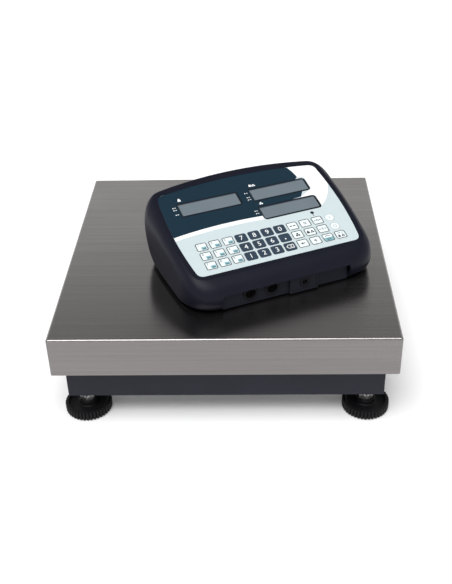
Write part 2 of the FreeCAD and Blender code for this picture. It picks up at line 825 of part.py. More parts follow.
KEY_NAMES = (
    ("memory_1", "memory_2", "memory_3", "7", "8", "9", "0", "sample", "unit_weight", "zero", "on"),
    ("memory_4", "memory_5", "memory_6", "4", "5", "6", "decimal_point", "pieces", "weight_count",
     "tare", "off"),
    ("memory_7", "memory_8", "memory_9", "1", "2", "3", "clear", "recall", "accumulate", "print", "mode"),
)
ROUND_KEYS = ("on", "off")


def key_places():
    """Name, column and row steps from the middle of the keypad, and whether the key is round."""
    for row, names in enumerate(KEY_NAMES):
        for column, name in enumerate(names):
            yield name, column - 5, 1 - row, name in ROUND_KEYS


def make_key(name, column, row, is_round):
    """Key plate on a short stem that presses the switch behind it."""
    body = new_body("key_body")
    low = D.key_top - D.key_plate
    plan = sketch(body, "XY_Plane", low)
    if is_round:
        circle(plan, D.key_round)
        plate = extrude(body, "Pad", plan, D.key_plate)
    else:
        half_width = D.key_width / 2
        half_height = D.key_height / 2
        rectangle(plan, (-half_width, half_width), (-half_height, half_height))
        square = extrude(body, "Pad", plan, D.key_plate)
        plate = dress(body, "Fillet", square, edges_where(square, is_upright), Radius=D.key_corner)
    dress(body, "Chamfer", plate, edges_where(plate, lies_at(D.key_top)), Size=D.key_gap)
    stem = circle(sketch(body, "XY_Plane", low), D.key_stem)
    extrude(body, "Pad", stem, D.key_stem_end + low, reverse=True)
    shift = Placement(Vector(float(column * D.key_pitch_x), float(row * D.key_pitch_y), 0), Rotation())
    node(f"key_{name}", body, FACE_FRAME.multiply(shift))


def key_aperture(column, row, is_round, low, high):
    """Hole for one key through the overlay, in the face's frame."""
    gap = float(D.key_gap)
    x = float(column * D.key_pitch_x)
    y = float(row * D.key_pitch_y)
    if is_round:
        return post(float(D.key_round) + gap, (low, high), x, y)
    half_width = float(D.key_width) / 2 + gap
    half_height = float(D.key_height) / 2 + gap
    hole = box_between((x - half_width, x + half_width), (y - half_height, y + half_height), (low, high))
    uprights = [edge for edge in hole.Edges if is_upright(edge)]
    return hole.makeFillet(float(D.key_corner) + gap, uprights)


# ---------------------------------------------------------------- overlay, board and displays


LCD_PLACES = ((-49.5, 80.3), (45.0, 80.0), (45.0, 47.0))


def overlay_loop(grow=0.0):
    """Outline of the keypad overlay: straight foot, bowed sides and bowed top."""
    foot, shoulder = 105.0 + grow, 107.5 + grow
    low, high, apex = -29.0 - grow, 110.5 + grow, 120.0 + grow
    corner_points = [Vector(-foot, low), Vector(foot, low), Vector(shoulder, high), Vector(-shoulder, high)]
    side = Vector(116.75 + grow, (low + high) / 2)
    poles = [Vector(0, low), side, Vector(0, 2 * apex - high), Vector(-side.x, side.y)]
    return bowed_loop(corner_points, poles, (8.0, 8.0, 8.0, 8.0))


def make_keypad_overlay():
    """Printed sheet in the recess of the face, with an aperture for each key."""
    low = -float(D.overlay_depth)
    high = low + float(D.overlay_sheet)
    plate = flat_plate(overlay_loop(), low, high)
    holes = [key_aperture(column, row, is_round, low - 1, high + 1)
             for _, column, row, is_round in key_places()]
    add_shape("keypad_overlay", plate.cut(Part.makeCompound(holes)), FACE_FRAME)


def make_main_board():
    """Circuit board with a tact switch behind each key and a few chips on its back."""
    body = new_body("board_body")
    low = -(D.board_top + D.board_sheet)
    half = D.board_half
    plan = rectangle(sketch(body, "XY_Plane", low), (-half, half), (D.board_low, D.board_high))
    extrude(body, "Pad", plan, D.board_sheet)
    switches = sketch(body, "XY_Plane", -D.board_top)
    reach = D.switch_side / 2
    for _, column, row, _ in key_places():
        x = column * D.key_pitch_x
        y = row * D.key_pitch_y
        rectangle(switches, (x - reach, x + reach), (y - reach, y + reach))
    extrude(body, "Pad", switches, D.switch_height)
    chips = sketch(body, "XY_Plane", low)
    rectangle(chips, (-D.board_half / 2, -D.board_half / 3), (D.board_high / 2, D.board_high / 2 + 14))
    rectangle(chips, (D.board_half / 5, D.board_half / 3), (D.board_high / 2, D.board_high / 2 + 10))
    rectangle(chips, (-D.board_half / 5, D.board_half / 5), (D.board_low + 4, D.board_low + 14))
    extrude(body, "Pad", chips, D.switch_height, reverse=True)
    node("main_board", body, FACE_FRAME)


def make_lcd_modules():
    """Three identical display modules that stand on the board."""
    pieces = []
    for x, y in LCD_PLACES:
        pieces.append(block((x - D.lcd_width / 2, x + D.lcd_width / 2),
                            (y - D.lcd_height / 2, y + D.lcd_height / 2),
                            (-D.board_top, -D.lcd_top)))
    node("lcd_modules", group(*pieces), FACE_FRAME)


# ---------------------------------------------------------------- case shells


SCREW_CLEARANCE = 1.7       # radius of the hole that a case screw passes in the lower shell
BOARD_POST = 2.5            # radius of a post that the main board is fixed to
WALL_RETURN = 2.5           # thickness of the two returns that join the socket wall to the lower shell
RETURN_BACK = -30.0         # where those returns end
RECESS_BACK = -36.0         # where the upper shell's recess over the sockets ends
IN_FRONT = -60.0            # a place in front of the whole case, where its cuts start
PANEL_SINK = 0.8            # depth of the sunk panel of the power box
BOSS_PLACES = ((-108.0, -12.0), (108.0, -12.0), (-102.5, 90.0), (102.5, 90.0))
BOARD_POSTS = [(side * 93.5, y) for side in (-1, 1) for y in (-21.0, 30.0, 101.0)]
CASE_FEET = ((-100.0, -20.0), (100.0, -20.0), (-100.0, 80.0), (100.0, 80.0))
FACE_ROUND = 2.5


def make_case_top():
    """Upper shell: one moulding with sloping face, openings for keys and displays, and screw bosses."""
    wall = float(D.case_wall)
    outer = Part.makeLoft([section_wire(section) for section in CASE_SECTIONS], True, False)
    rim = [edge for edge in outer.Edges if in_face_plane(edge)]
    outer = outer.makeFillet(FACE_ROUND, rim)
    below = list(CASE_SECTIONS[0])
    below[1] = below[1] - 4
    inner_sections = [below, *CASE_SECTIONS[1:-1]]
    wires = [section_wire(section, wall) for section in inner_sections]
    wires.append(section_wire(CASE_SECTIONS[-1], wall, wall / math.cos(math.radians(CASE_SECTIONS[-1][0]))))
    inner = Part.makeLoft(wires, True, False)
    bosses = [post(float(D.boss_radius), (float(D.boss_low), 80.0), x, y) for x, y in BOSS_PLACES]
    face_low = -float(D.board_top)
    posts = [in_case(post(BOARD_POST, (face_low, -wall + 0.5), x, y)) for x, y in BOARD_POSTS]
    supports = Part.makeCompound(bosses).common(inner)
    grown = outer.cut(inner).fuse([*supports.Solids, *posts])
    tools = [in_case(flat_plate(overlay_loop(float(D.overlay_gap)), -float(D.overlay_depth), 5.0))]
    for row in (-1, 0, 1):
        y = float(row * D.key_pitch_y)
        reach = float(D.slot_width) / 2
        rise = float(D.slot_height) / 2
        tools.append(in_case(box_between((-reach, reach), (y - rise, y + rise), (-8.0, 1.0))))
    edge = float(D.lcd_opening)
    for x, y in LCD_PLACES:
        reach = float(D.lcd_width) / 2 + edge
        rise = float(D.lcd_height) / 2 + edge
        tools.append(in_case(box_between((x - reach, x + reach), (y - rise, y + rise), (-8.0, 1.0))))
    tools.append(box_between((float(D.socket_wall_left) - 1, float(D.socket_wall_right) + 1),
                             (IN_FRONT, RECESS_BACK), (0.0, float(D.recess_high))))
    pilot = float(D.screw_hole)
    tip = float(D.floor_low) + float(D.screw_head_height) + float(D.screw_length) + 1
    tools += [post(pilot, (0.0, tip), x, y) for x, y in BOSS_PLACES]
    add_shape("case_top", grown.cut(tools), CASE_FRAME)


def in_face_plane(edge):
    """Whether an edge of the case lies in the plane of the face."""
    inverse = FACE_IN_CASE.inverse()
    return all(abs(inverse.multVec(vertex.Point).z) < 0.01 for vertex in edge.Vertexes)


def make_case_bottom():
    """Lower shell: floor, locating lip, battery tray, and the wall and box that hold the sockets."""
    low, high = float(D.floor_low), float(D.floor_high)
    _, _, front, back, front_edge, back_corner, apex, ease_front, ease_back, bow = CASE_SECTIONS[0]

    def base_loop(inset):
        return case_loop(front - inset, back - inset, front_edge + inset, back_corner - inset, apex - inset,
                         ease_front - inset, ease_back - inset, bow)

    floor = flat_plate(base_loop(4.0), low, high)
    lip = flat_plate(base_loop(4.0), high, float(D.case_low) + 5).cut(
        flat_plate(base_loop(6.0), high - 1, float(D.case_low) + 6))
    left, right = float(D.socket_wall_left), float(D.socket_wall_right)
    wall_y = float(D.socket_wall_y)
    wall_in = wall_y + float(D.socket_wall)
    top = float(D.socket_wall_high)
    lip = lip.cut(box_between((left - 2, right + 2), (IN_FRONT, RETURN_BACK), (0.0, top + 2)))
    pieces = [
        lip,
        box_between((left, right), (wall_y, RETURN_BACK), (low, high)),
        box_between((left, right), (wall_y, wall_in), (low, top)),
        box_between((left, left + WALL_RETURN), (wall_y, RETURN_BACK), (low, top)),
        box_between((right - WALL_RETURN, right), (wall_y, RETURN_BACK), (low, top)),
        box_between((float(D.power_left), float(D.power_right)),
                    (float(D.power_front), float(D.power_back)),
                    (float(D.power_low), float(D.power_high))),
    ]
    half = float(D.battery_length) / 2 + 0.5
    back_y = float(D.battery_front) + float(D.battery_depth) + 0.5
    front_y = float(D.battery_front) - 0.5
    tray = float(D.tray_wall)
    tray_top = high + float(D.tray_height)
    tray_box = box_between((-half - tray, half + tray), (front_y - tray, back_y + tray), (high, tray_top))
    pieces.append(tray_box.cut(box_between((-half, half), (front_y, back_y), (high, tray_top))))
    pieces += [post(float(D.boss_radius), (high, float(D.boss_low)), x, y) for x, y in BOSS_PLACES]
    head_room = low + float(D.screw_head_height)
    tools = []
    for x, y in BOSS_PLACES:
        tools.append(post(SCREW_CLEARANCE, (0.0, float(D.boss_low) + 1), x, y))
        tools.append(post(float(D.screw_head) + 0.2, (0.0, head_room), x, y))
    for x in (float(D.signal_left), float(D.signal_right)):
        tools.append(barrel(float(D.signal_hole), (wall_y - 1, wall_in + 1), x, float(D.signal_height)))
    border = float(D.power_border)
    tools.append(box_between((float(D.power_left) + border, float(D.power_right) - border),
                             (float(D.power_front) - 1, float(D.power_front) + PANEL_SINK),
                             (float(D.power_low) + border, float(D.power_high) - border)))
    tools.append(barrel(float(D.jack_radius) + 0.05, (float(D.power_front) - 1, float(D.power_back) + 1),
                        float(D.jack_x), float(D.jack_height)))
    add_shape("case_bottom", floor.fuse(pieces).cut(tools), CASE_FRAME)


# ---------------------------------------------------------------- inside and under the indicator


def make_battery():
    """Sealed rechargeable block with two blade terminals."""
    body = new_body("battery_body")
    half = D.battery_length / 2
    back = D.battery_front + D.battery_depth
    plan = rectangle(sketch(body, "XY_Plane", D.floor_high), (-half, half), (D.battery_front, back))
    pad = extrude(body, "Pad", plan, D.battery_height)
    dress(body, "Fillet", pad, edges_where(pad, is_upright), Radius=D.tray_wall)
    blades = sketch(body, "XY_Plane", D.floor_high + D.battery_height)
    for sx in (-1, 1):
        middle = sx * D.battery_length / 3
        rectangle(blades, (middle - 0.4, middle + 0.4), (back - 12, back - 6))
    extrude(body, "Pad", blades, 5)
    node("battery", body, CASE_FRAME)


SOCKET_PINS = 5             # pins of a signal socket, in a half circle
PIN_RADIUS = 0.6
PIN_CIRCLE = 3.8            # radius of that half circle
PIN_STEP = 45               # degrees between two pins


def make_signal_sockets():
    """Two round multi-pin sockets in the socket wall, each with a mouth to the front."""
    pieces = []
    wall_y = D.socket_wall_y
    for x in (D.signal_left, D.signal_right):
        flange = cross_rod(D.signal_flange, (wall_y - 1.2, wall_y), x, D.signal_height)
        shaft = cross_rod(D.signal_barrel, (wall_y, wall_y + 10), x, D.signal_height)
        mouth = cross_rod(D.signal_bore, (wall_y - 2, wall_y + 7), x, D.signal_height)
        shell = cut(fuse(flange, shaft), mouth)
        pins = []
        for step in range(SOCKET_PINS):
            turn = math.radians(PIN_STEP * step)
            pins.append(cross_rod(PIN_RADIUS, (wall_y + 1.5, wall_y + 8), x + PIN_CIRCLE * math.cos(turn),
                                  D.signal_height - PIN_CIRCLE * math.sin(turn)))
        pieces.append(fuse(shell, *pins))
    node("signal_sockets", group(*pieces), CASE_FRAME)


def make_dc_socket():
    """Barrel jack in the power box: collar, mouth and centre pin."""
    front = D.power_front
    place = (D.jack_x, D.jack_height)
    shell = cut(cross_rod(D.jack_radius, (front, front + 11), *place),
                cross_rod(D.jack_bore, (front - 1, front + 9), *place))
    pin = cross_rod(D.jack_pin, (front + 1.5, front + 10), *place)
    node("dc_socket", fuse(shell, pin), CASE_FRAME)


def make_case_screws():
    """Four self-tapping screws from below."""
    pieces = []
    seat = D.floor_low + D.screw_head_height
    for x, y in BOSS_PLACES:
        head = rod(D.screw_head, (seat - D.screw_head_height, seat), x, y)
        shank = rod(D.screw_shank, (seat, seat + D.screw_length), x, y)
        pieces.append(fuse(head, shank))
    node("case_screws", group(*pieces), CASE_FRAME)


def make_case_feet():
    """Four rubber discs that the indicator stands on."""
    discs = [rod(D.case_foot, (0, D.floor_low), x, y) for x, y in CASE_FEET]
    node("case_feet", group(*discs), CASE_FRAME)


# ---------------------------------------------------------------- build, check and write


def check_and_write():
    """Stop on any failed object or bad shape, then write one STEP file for each sub-part."""
    document.recompute()
    bad = [item.Name for item in document.Objects if {"Invalid", "Error"} & set(item.State)]
    for name, item in nodes.items():
        shape = item.Shape
        if shape.isNull() or not shape.isValid() or not shape.Solids:
            bad.append(name)
    if bad:
        raise RuntimeError("failed: " + ", ".join(bad))
    os.makedirs("parts", exist_ok=True)
    for name, item in nodes.items():
        item.Shape.exportStep(f"parts/{name}.step")
        print(f"{name:22s} {len(item.Shape.Solids)} solids {item.Shape.Volume / 1000:9.2f} cm3")


make_weighing_pan()
make_base_frame()
make_bolts()
make_load_cell()
make_platform_frame()
make_feet()
make_bubble_level()
make_cable_gland()
for place in key_places():
    make_key(*place)
make_keypad_overlay()
make_main_board()
make_lcd_modules()
make_case_top()
make_case_bottom()
make_battery()
make_signal_sockets()
make_dc_socket()
make_case_screws()
make_case_feet()
check_and_write()
print(len(nodes), "sub-parts")
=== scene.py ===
import bmesh
import bpy
import math
from mathutils import Matrix, Vector


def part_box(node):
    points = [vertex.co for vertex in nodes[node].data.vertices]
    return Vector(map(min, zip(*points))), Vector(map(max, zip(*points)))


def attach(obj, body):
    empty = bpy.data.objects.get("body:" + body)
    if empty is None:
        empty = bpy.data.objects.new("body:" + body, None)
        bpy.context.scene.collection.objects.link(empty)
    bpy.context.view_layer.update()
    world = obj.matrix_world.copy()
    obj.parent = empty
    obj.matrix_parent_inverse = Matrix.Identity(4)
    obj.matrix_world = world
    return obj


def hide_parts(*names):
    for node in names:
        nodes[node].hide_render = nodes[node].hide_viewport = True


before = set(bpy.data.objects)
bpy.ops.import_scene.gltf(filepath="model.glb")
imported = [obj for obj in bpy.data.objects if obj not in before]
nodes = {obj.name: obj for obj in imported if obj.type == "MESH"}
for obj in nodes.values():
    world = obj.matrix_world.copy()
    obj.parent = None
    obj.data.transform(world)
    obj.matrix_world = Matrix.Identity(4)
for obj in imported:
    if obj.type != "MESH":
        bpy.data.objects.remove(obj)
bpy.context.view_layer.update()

MM = 0.001      # metres in a millimetre


# ---------------------------------------------------------------- materials


# Sockets of the Mix node by number, since their names repeat: first value, second value, result
MIX_SOCKETS = {"FLOAT": (2, 3, 0), "VECTOR": (4, 5, 1), "RGBA": (6, 7, 2)}


class Shader:
    """A Principled material with short ways to add procedural detail.

    Noise scales are per metre of the part's own frame, and bump distances are in metres."""

    def __init__(self, name, color, roughness, metallic=0.0):
        self.material = bpy.data.materials.new(name)
        self.material.use_nodes = True
        self.material.diffuse_color = (*color, 1.0)
        self.tree = self.material.node_tree
        self.bsdf = self.tree.nodes["Principled BSDF"]
        self.set(Base_Color=(*color, 1.0), Roughness=roughness, Metallic=metallic)

    def set(self, **values):
        """Set the shader's own sockets; an underscore stands for a space."""
        for name, value in values.items():
            self.connect(self.bsdf.inputs[name.replace("_", " ")], value)

    def connect(self, socket, value):
        """Give a socket a constant or the output of another node."""
        if isinstance(value, bpy.types.NodeSocket):
            self.tree.links.new(value, socket)
        else:
            socket.default_value = value

    def node(self, kind, **values):
        item = self.tree.nodes.new("ShaderNode" + kind)
        for name, value in values.items():
            self.connect(item.inputs[name.replace("_", " ")], value)
        return item

    def place(self, stretch):
        """The object's own coordinates, stretched."""
        coords = self.node("TexCoord").outputs["Object"]
        return self.node("Mapping", Vector=coords, Scale=stretch).outputs["Vector"]

    def noise(self, scale, detail, stretch=(1.0, 1.0, 1.0), rough=0.5):
        item = self.node("TexNoise", Vector=self.place(stretch), Scale=scale, Detail=detail, Roughness=rough)
        return item.outputs["Fac"]

    def spread(self, factor, low, high, start=0.0, end=1.0):
        """Map a factor from the range start to end onto the range low to high."""
        item = self.node("MapRange", Value=factor, From_Min=start, From_Max=end, To_Min=low, To_Max=high)
        return item.outputs["Result"]

    def mix(self, data_type, factor, first, second):
        """Mix two values of one type: FLOAT, VECTOR or RGBA."""
        item = self.node("Mix")
        item.data_type = data_type
        first_input, second_input, result = MIX_SOCKETS[data_type]
        self.connect(item.inputs["Factor"], factor)
        self.connect(item.inputs[first_input], first)
        self.connect(item.inputs[second_input], second)
        return item.outputs[result]

    def blend(self, factor, first, second):
        """Mix two colours."""
        return self.mix("RGBA", factor, (*first, 1.0), (*second, 1.0))

    def mottle(self, factor, color, darker, brighter):
        """Base colour that wanders between a darker and a brighter shade of one colour."""
        self.set(Base_Color=self.blend(factor, lighter(color, darker), lighter(color, brighter)))

    def compute(self, operation, *values):
        """Result of a Math node."""
        item = self.tree.nodes.new("ShaderNodeMath")
        item.operation = operation
        for socket, value in zip(item.inputs, values):
            self.connect(socket, value)
        return item.outputs["Value"]

    def bump(self, height, distance, strength=1.0):
        """Surface relief."""
        item = self.node("Bump", Height=height, Distance=distance, Strength=strength)
        self.set(Normal=item.outputs["Normal"])


def lighter(color, factor):
    """A colour's channels scaled, up to full brightness."""
    return tuple(min(1.0, channel * factor) for channel in color)


def moulded(name, color, roughness=0.5, relief=0.00002, spread=0.08, gloss=0.22):
    """Moulded plastic: fine spark texture, slight patches in colour and gloss."""
    shader = Shader(name, color, roughness)
    patches = shader.noise(scale=28.0, detail=4.0)
    shader.mottle(patches, color, 1 - spread, 1 + spread)
    worn = shader.compute("MULTIPLY_ADD", patches, 0.6, 0.2)
    worn_roughness = shader.spread(worn, low=roughness - 0.06, high=roughness + 0.08)
    shader.set(Roughness=worn_roughness, Specular_IOR_Level=gloss)
    shader.bump(shader.noise(scale=2600.0, detail=2.0), relief)
    return shader.material


def powder_coat(name, color):
    """Powder-coated steel: orange-peel relief and dusty rubbed patches."""
    shader = Shader(name, color, roughness=0.45)
    rubbed = shader.noise(scale=14.0, detail=6.0, rough=0.65)
    dusty = shader.spread(rubbed, low=0.0, high=1.0, start=0.42, end=0.72)
    shader.mottle(dusty, color, 1.0, 1.45)
    shader.set(Roughness=shader.spread(rubbed, low=0.36, high=0.58), Specular_IOR_Level=0.24)
    shader.bump(shader.noise(scale=900.0, detail=2.0), 0.00004)
    return shader.material


def rubber(name, color):
    """Black rubber with dust."""
    shader = Shader(name, color, roughness=0.78)
    dust = shader.noise(scale=70.0, detail=5.0)
    dusty = shader.spread(dust, low=0.0, high=1.0, start=0.45, end=0.8)
    shader.mottle(dusty, color, 1.0, 2.4)
    shader.set(Roughness=shader.spread(dust, low=0.7, high=0.9))
    shader.bump(shader.noise(scale=2200.0, detail=3.0), 0.00005)
    return shader.material


def brushed_steel(name, color, roughness):
    """Sheet brushed along X, or along Y on the faces square to X; reflections smear across the lines."""
    shader = Shader(name, color, roughness, metallic=1.0)
    normal = shader.node("NewGeometry").outputs["Normal"]
    sideways = shader.node("SeparateXYZ", Vector=normal).outputs["X"]
    square_to_x = shader.compute("GREATER_THAN", shader.compute("ABSOLUTE", sideways), 0.7)

    def lines(along, across, **settings):
        """Noise drawn out along the brushing."""
        first = shader.noise(scale=1.0, stretch=(along, across, across), **settings)
        second = shader.noise(scale=1.0, stretch=(across, along, across), **settings)
        return shader.mix("FLOAT", square_to_x, first, second)

    fine = lines(along=12.0, across=2600.0, detail=5.0, rough=0.7)
    broad = lines(along=2.2, across=320.0, detail=3.0)
    tone = shader.compute("MULTIPLY_ADD", fine, 0.55, shader.compute("MULTIPLY", broad, 0.45))
    shader.mottle(shader.spread(tone, low=0.0, high=1.0, start=0.3, end=0.7), color, 0.86, 1.14)
    smudge = shader.noise(scale=5.0, detail=5.0)
    base = shader.spread(smudge, low=roughness - 0.05, high=roughness + 0.06, start=0.3, end=0.7)
    shader.set(Roughness=shader.compute("ADD", base, shader.spread(fine, low=-0.04, high=0.04)))
    grain = shader.mix("VECTOR", square_to_x, (1.0, 0.0, 0.0), (0.0, 1.0, 0.0))
    smear = shader.tree.nodes.new("ShaderNodeVectorMath")
    smear.operation = "CROSS_PRODUCT"
    shader.connect(smear.inputs[0], normal)
    shader.connect(smear.inputs[1], grain)
    shader.set(Anisotropic=0.5, Tangent=smear.outputs["Vector"])
    shader.bump(fine, 0.000006, strength=0.28)
    return shader.material


def plated(name, color, roughness):
    """Zinc or nickel plate with faint stains."""
    shader = Shader(name, color, roughness, metallic=1.0)
    stain = shader.noise(scale=160.0, detail=5.0)
    shader.mottle(stain, color, 0.8, 1.15)
    shader.set(Roughness=shader.spread(stain, low=roughness - 0.08, high=roughness + 0.14))
    shader.bump(shader.noise(scale=1500.0, detail=2.0), 0.00001)
    return shader.material


def milled_aluminium(name, dark, bright):
    """Aluminium bar with milling lines along X."""
    shader = Shader(name, bright, roughness=0.34, metallic=1.0)
    lines = shader.noise(scale=1.0, detail=4.0, stretch=(12.0, 900.0, 900.0), rough=0.6)
    shader.set(Base_Color=shader.blend(lines, dark, bright))
    shader.set(Roughness=shader.spread(lines, low=0.28, high=0.45))
    shader.bump(lines, 0.00001)
    return shader.material


def film(name, color, roughness=0.42, mottle=0.03):
    """Printed polyester film with a fine texture."""
    shader = Shader(name, color, roughness)
    shader.mottle(shader.noise(scale=90.0, detail=3.0), color, 1 - mottle, 1 + mottle)
    fine = shader.noise(scale=4200.0, detail=2.0)
    fine_roughness = shader.spread(fine, low=roughness - 0.05, high=roughness + 0.05)
    shader.set(Roughness=fine_roughness, Specular_IOR_Level=0.16)
    shader.bump(fine, 0.000008)
    return shader.material


def display_glass(name, color):
    """Unlit display behind its window: grey, with a faint mottled polariser."""
    shader = Shader(name, color, roughness=0.16)
    patches = shader.noise(scale=36.0, detail=3.0)
    shader.mottle(patches, color, 0.93, 1.08)
    shader.set(Roughness=shader.spread(patches, low=0.12, high=0.2))
    shader.bump(shader.noise(scale=3000.0, detail=1.0), 0.000004)
    return shader.material


def circuit_board(name, mask, other_mask, tracks):
    """Solder mask in patches between a grid of tracks."""
    shader = Shader(name, mask, roughness=0.35)
    grid = shader.node("TexBrick", Vector=shader.place((220.0, 220.0, 220.0)), Scale=1.0,
                       Color1=(*mask, 1.0), Color2=(*other_mask, 1.0), Mortar=(*tracks, 1.0))
    shader.set(Base_Color=grid.outputs["Color"])
    shader.bump(grid.outputs["Fac"], 0.00003)
    return shader.material


STEEL = brushed_steel("brushed_steel", (0.240, 0.227, 0.225), 0.23)
FRAME_PAINT = powder_coat("frame_paint", (0.011, 0.0115, 0.020))
RUBBER = rubber("black_rubber", (0.018, 0.018, 0.019))
CASE_PLASTIC = moulded("case_plastic", (0.0065, 0.0075, 0.0155), 0.42,
                       relief=0.000015, spread=0.05, gloss=0.16)
CASE_UNDER = moulded("case_under_plastic", (0.016, 0.018, 0.027))
BLACK_PLASTIC = moulded("black_plastic", (0.012, 0.012, 0.014), 0.4)
FOOT_PLASTIC = moulded("foot_plastic", (0.006, 0.006, 0.007), relief=0.00004, spread=0.15, gloss=0.16)
BATTERY = moulded("battery_case", (0.05, 0.055, 0.06), 0.45)
ZINC = plated("zinc_plate", (0.62, 0.62, 0.60), 0.28)
DARK_STEEL = plated("dark_steel", (0.20, 0.20, 0.20), 0.38)
ALUMINIUM = milled_aluminium("milled_aluminium", (0.58, 0.59, 0.61), (0.78, 0.79, 0.80))
OVERLAY = film("overlay_film", (0.58, 0.67, 0.69))
WHITE_PRINT = film("white_print", (0.93, 0.95, 0.95), mottle=0.01)
BLUE_PRINT = film("blue_print", (0.010, 0.028, 0.046), 0.36, 0.08)
BLACK_PRINT = film("black_print", (0.010, 0.014, 0.020), 0.36, 0.05)
GREY_PRINT = film("grey_print", (0.38, 0.42, 0.44))
TEAL_PRINT = film("teal_print", (0.24, 0.44, 0.49))
KEY_LIGHT = film("key_light_film", (0.80, 0.87, 0.88), mottle=0.02)
KEY_DARK = film("key_dark_film", (0.036, 0.056, 0.082), 0.38, 0.05)
# Darker film painted inside each display glass's left and top edges: a painted shadow standing in for the
# depth of a recessed display
DISPLAY_PAINTED_SHADOW = film("display_painted_shadow", (0.085, 0.105, 0.12), 0.25)
DISPLAY = display_glass("display_glass", (0.16, 0.195, 0.222))
BOARD = circuit_board("circuit_board", (0.012, 0.10, 0.04), (0.02, 0.16, 0.06), (0.03, 0.22, 0.09))

NODE_FINISHES = {
    "weighing_pan": STEEL,
    "base_frame": FRAME_PAINT,
    "platform_frame": FRAME_PAINT,
    "load_cell": ALUMINIUM,
    "base_bolts": ZINC,
    "platform_bolts": ZINC,
    "pan_pads": RUBBER,
    "bubble_level": BLACK_PLASTIC,
    "cable_gland": BLACK_PLASTIC,
    "case_top": CASE_PLASTIC,
    "case_bottom": CASE_UNDER,
    "keypad_overlay": OVERLAY,
    "lcd_modules": DISPLAY,
    "main_board": BOARD,
    "battery": BATTERY,
    "signal_sockets": BLACK_PLASTIC,
    "dc_socket": BLACK_PLASTIC,
    "case_screws": ZINC,
    "case_feet": RUBBER,
}
KEY_ROWS = (
    ("memory_1", "memory_2", "memory_3", "7", "8", "9", "0",
     "sample", "unit_weight", "zero", "on"),
    ("memory_4", "memory_5", "memory_6", "4", "5", "6", "decimal_point",
     "pieces", "weight_count", "tare", "off"),
    ("memory_7", "memory_8", "memory_9", "1", "2", "3", "clear",
     "recall", "accumulate", "print", "mode"),
)
DARK_KEYS = ("0", "1", "2", "3", "4", "5", "6", "7", "8", "9", "decimal_point", "clear")


def finish_of(name):
    """Material of a CAD node."""
    if name.startswith("foot_pad"):
        return RUBBER
    if name.startswith("foot_wheel"):
        return FOOT_PLASTIC
    if name.startswith("key_"):
        return KEY_DARK if name.removeprefix("key_") in DARK_KEYS else KEY_LIGHT
    return NODE_FINISHES[name]


def dress_cad_nodes():
    """Give every CAD node its finish."""
    for name, item in nodes.items():
        for slot in item.material_slots:
            slot.material = finish_of(name)


# ---------------------------------------------------------------- geometry helpers


def mesh_object(name, mesh, matrix=Matrix.Identity(4)):
    item = bpy.data.objects.new(name, mesh)
    bpy.context.scene.collection.objects.link(item)
    item.matrix_world = matrix
    return item


def shade_smooth(mesh, angle):
    """Smooth shading, with edges sharper than an angle in degrees left crisp."""
    work = bmesh.new()
    work.from_mesh(mesh)
    for face in work.faces:
        face.smooth = True
    for edge in work.edges:
        if len(edge.link_faces) == 2:
            edge.smooth = edge.calc_face_angle(0.0) < math.radians(angle)
    work.to_mesh(mesh)
    work.free()


def ring_points(x, y, radius, count, start=0.0, turn=360.0):
    """Points round an arc, angles in degrees; the last one is left out on a full circle."""
    steps = count if abs(turn) >= 360 else count - 1
    angles = [math.radians(start + turn * step / steps) for step in range(count)]
    return [(x + radius * math.cos(angle), y + radius * math.sin(angle)) for angle in angles]


def rounded_box(left, right, low, high, radius, segments=6):
    """Rectangle with round corners; radius is one number or four, counter-clockwise from lower left."""
    radii = radius if isinstance(radius, tuple) else (radius,) * 4
    corners = ((left, low, 1, 1), (right, low, -1, 1), (right, high, -1, -1), (left, high, 1, -1))
    points = []
    for (x, y, inward_x, inward_y), corner, start in zip(corners, radii, (180, 270, 0, 90)):
        points += ring_points(x + inward_x * corner, y + inward_y * corner, corner, segments + 1, start, 90.0)
    return points


def curve_points(start, pole, end, count):
    """Points along a quadratic curve."""
    points = []
    for step in range(count + 1):
        share = step / count
        points.append(tuple((1 - share) ** 2 * a + 2 * share * (1 - share) * b + share * share * c
                            for a, b, c in zip(start, pole, end)))
    return points


def flat_mesh(name, loops, low, high):
    """Plate with the given outlines, later loops cutting holes, between two heights in millimetres."""
    curve = bpy.data.curves.new(name, "CURVE")
    curve.dimensions = "2D"
    curve.fill_mode = "BOTH"
    curve.extrude = (high - low) / 2 * MM
    for loop in loops:
        spline = curve.splines.new("POLY")
        spline.points.add(len(loop) - 1)
        for point, (x, y) in zip(spline.points, loop):
            point.co = (x * MM, y * MM, 0.0, 1.0)
        spline.use_cyclic_u = True
    return lifted_mesh(name, curve, (low + high) / 2)


def lifted_mesh(name, curve, height):
    """Mesh of a curve or text, lifted to a height in millimetres."""
    carrier = bpy.data.objects.new(name + "_curve", curve)
    bpy.context.scene.collection.objects.link(carrier)
    bpy.context.view_layer.update()
    mesh = bpy.data.meshes.new_from_object(carrier.evaluated_get(bpy.context.evaluated_depsgraph_get()))
    bpy.data.objects.remove(carrier)
    bpy.data.curves.remove(curve)
    mesh.transform(Matrix.Translation((0, 0, height * MM)))
    mesh.name = name
    return mesh


def digit_mesh(text, x, y, size, low, high):
    """Digit centred on a place, size in millimetres."""
    curve = bpy.data.curves.new("digit", "FONT")
    curve.body = text
    curve.size = size * MM
    curve.align_x = "CENTER"
    curve.align_y = "CENTER"
    curve.extrude = (high - low) / 2 * MM
    mesh = lifted_mesh("digit", curve, (low + high) / 2)
    mesh.transform(Matrix.Translation((x * MM, y * MM, 0)))
    return mesh


def joined(name, parts):
    """One mesh from (mesh, material) pairs, each keeping its material."""
    work = bmesh.new()
    finishes = []
    for mesh, finish in parts:
        if finish not in finishes:
            finishes.append(finish)
        for polygon in mesh.polygons:
            polygon.material_index = finishes.index(finish)
        work.from_mesh(mesh)
        bpy.data.meshes.remove(mesh)
    result = bpy.data.meshes.new(name)
    work.to_mesh(result)
    work.free()
    for finish in finishes:
        result.materials.append(finish)
    return result


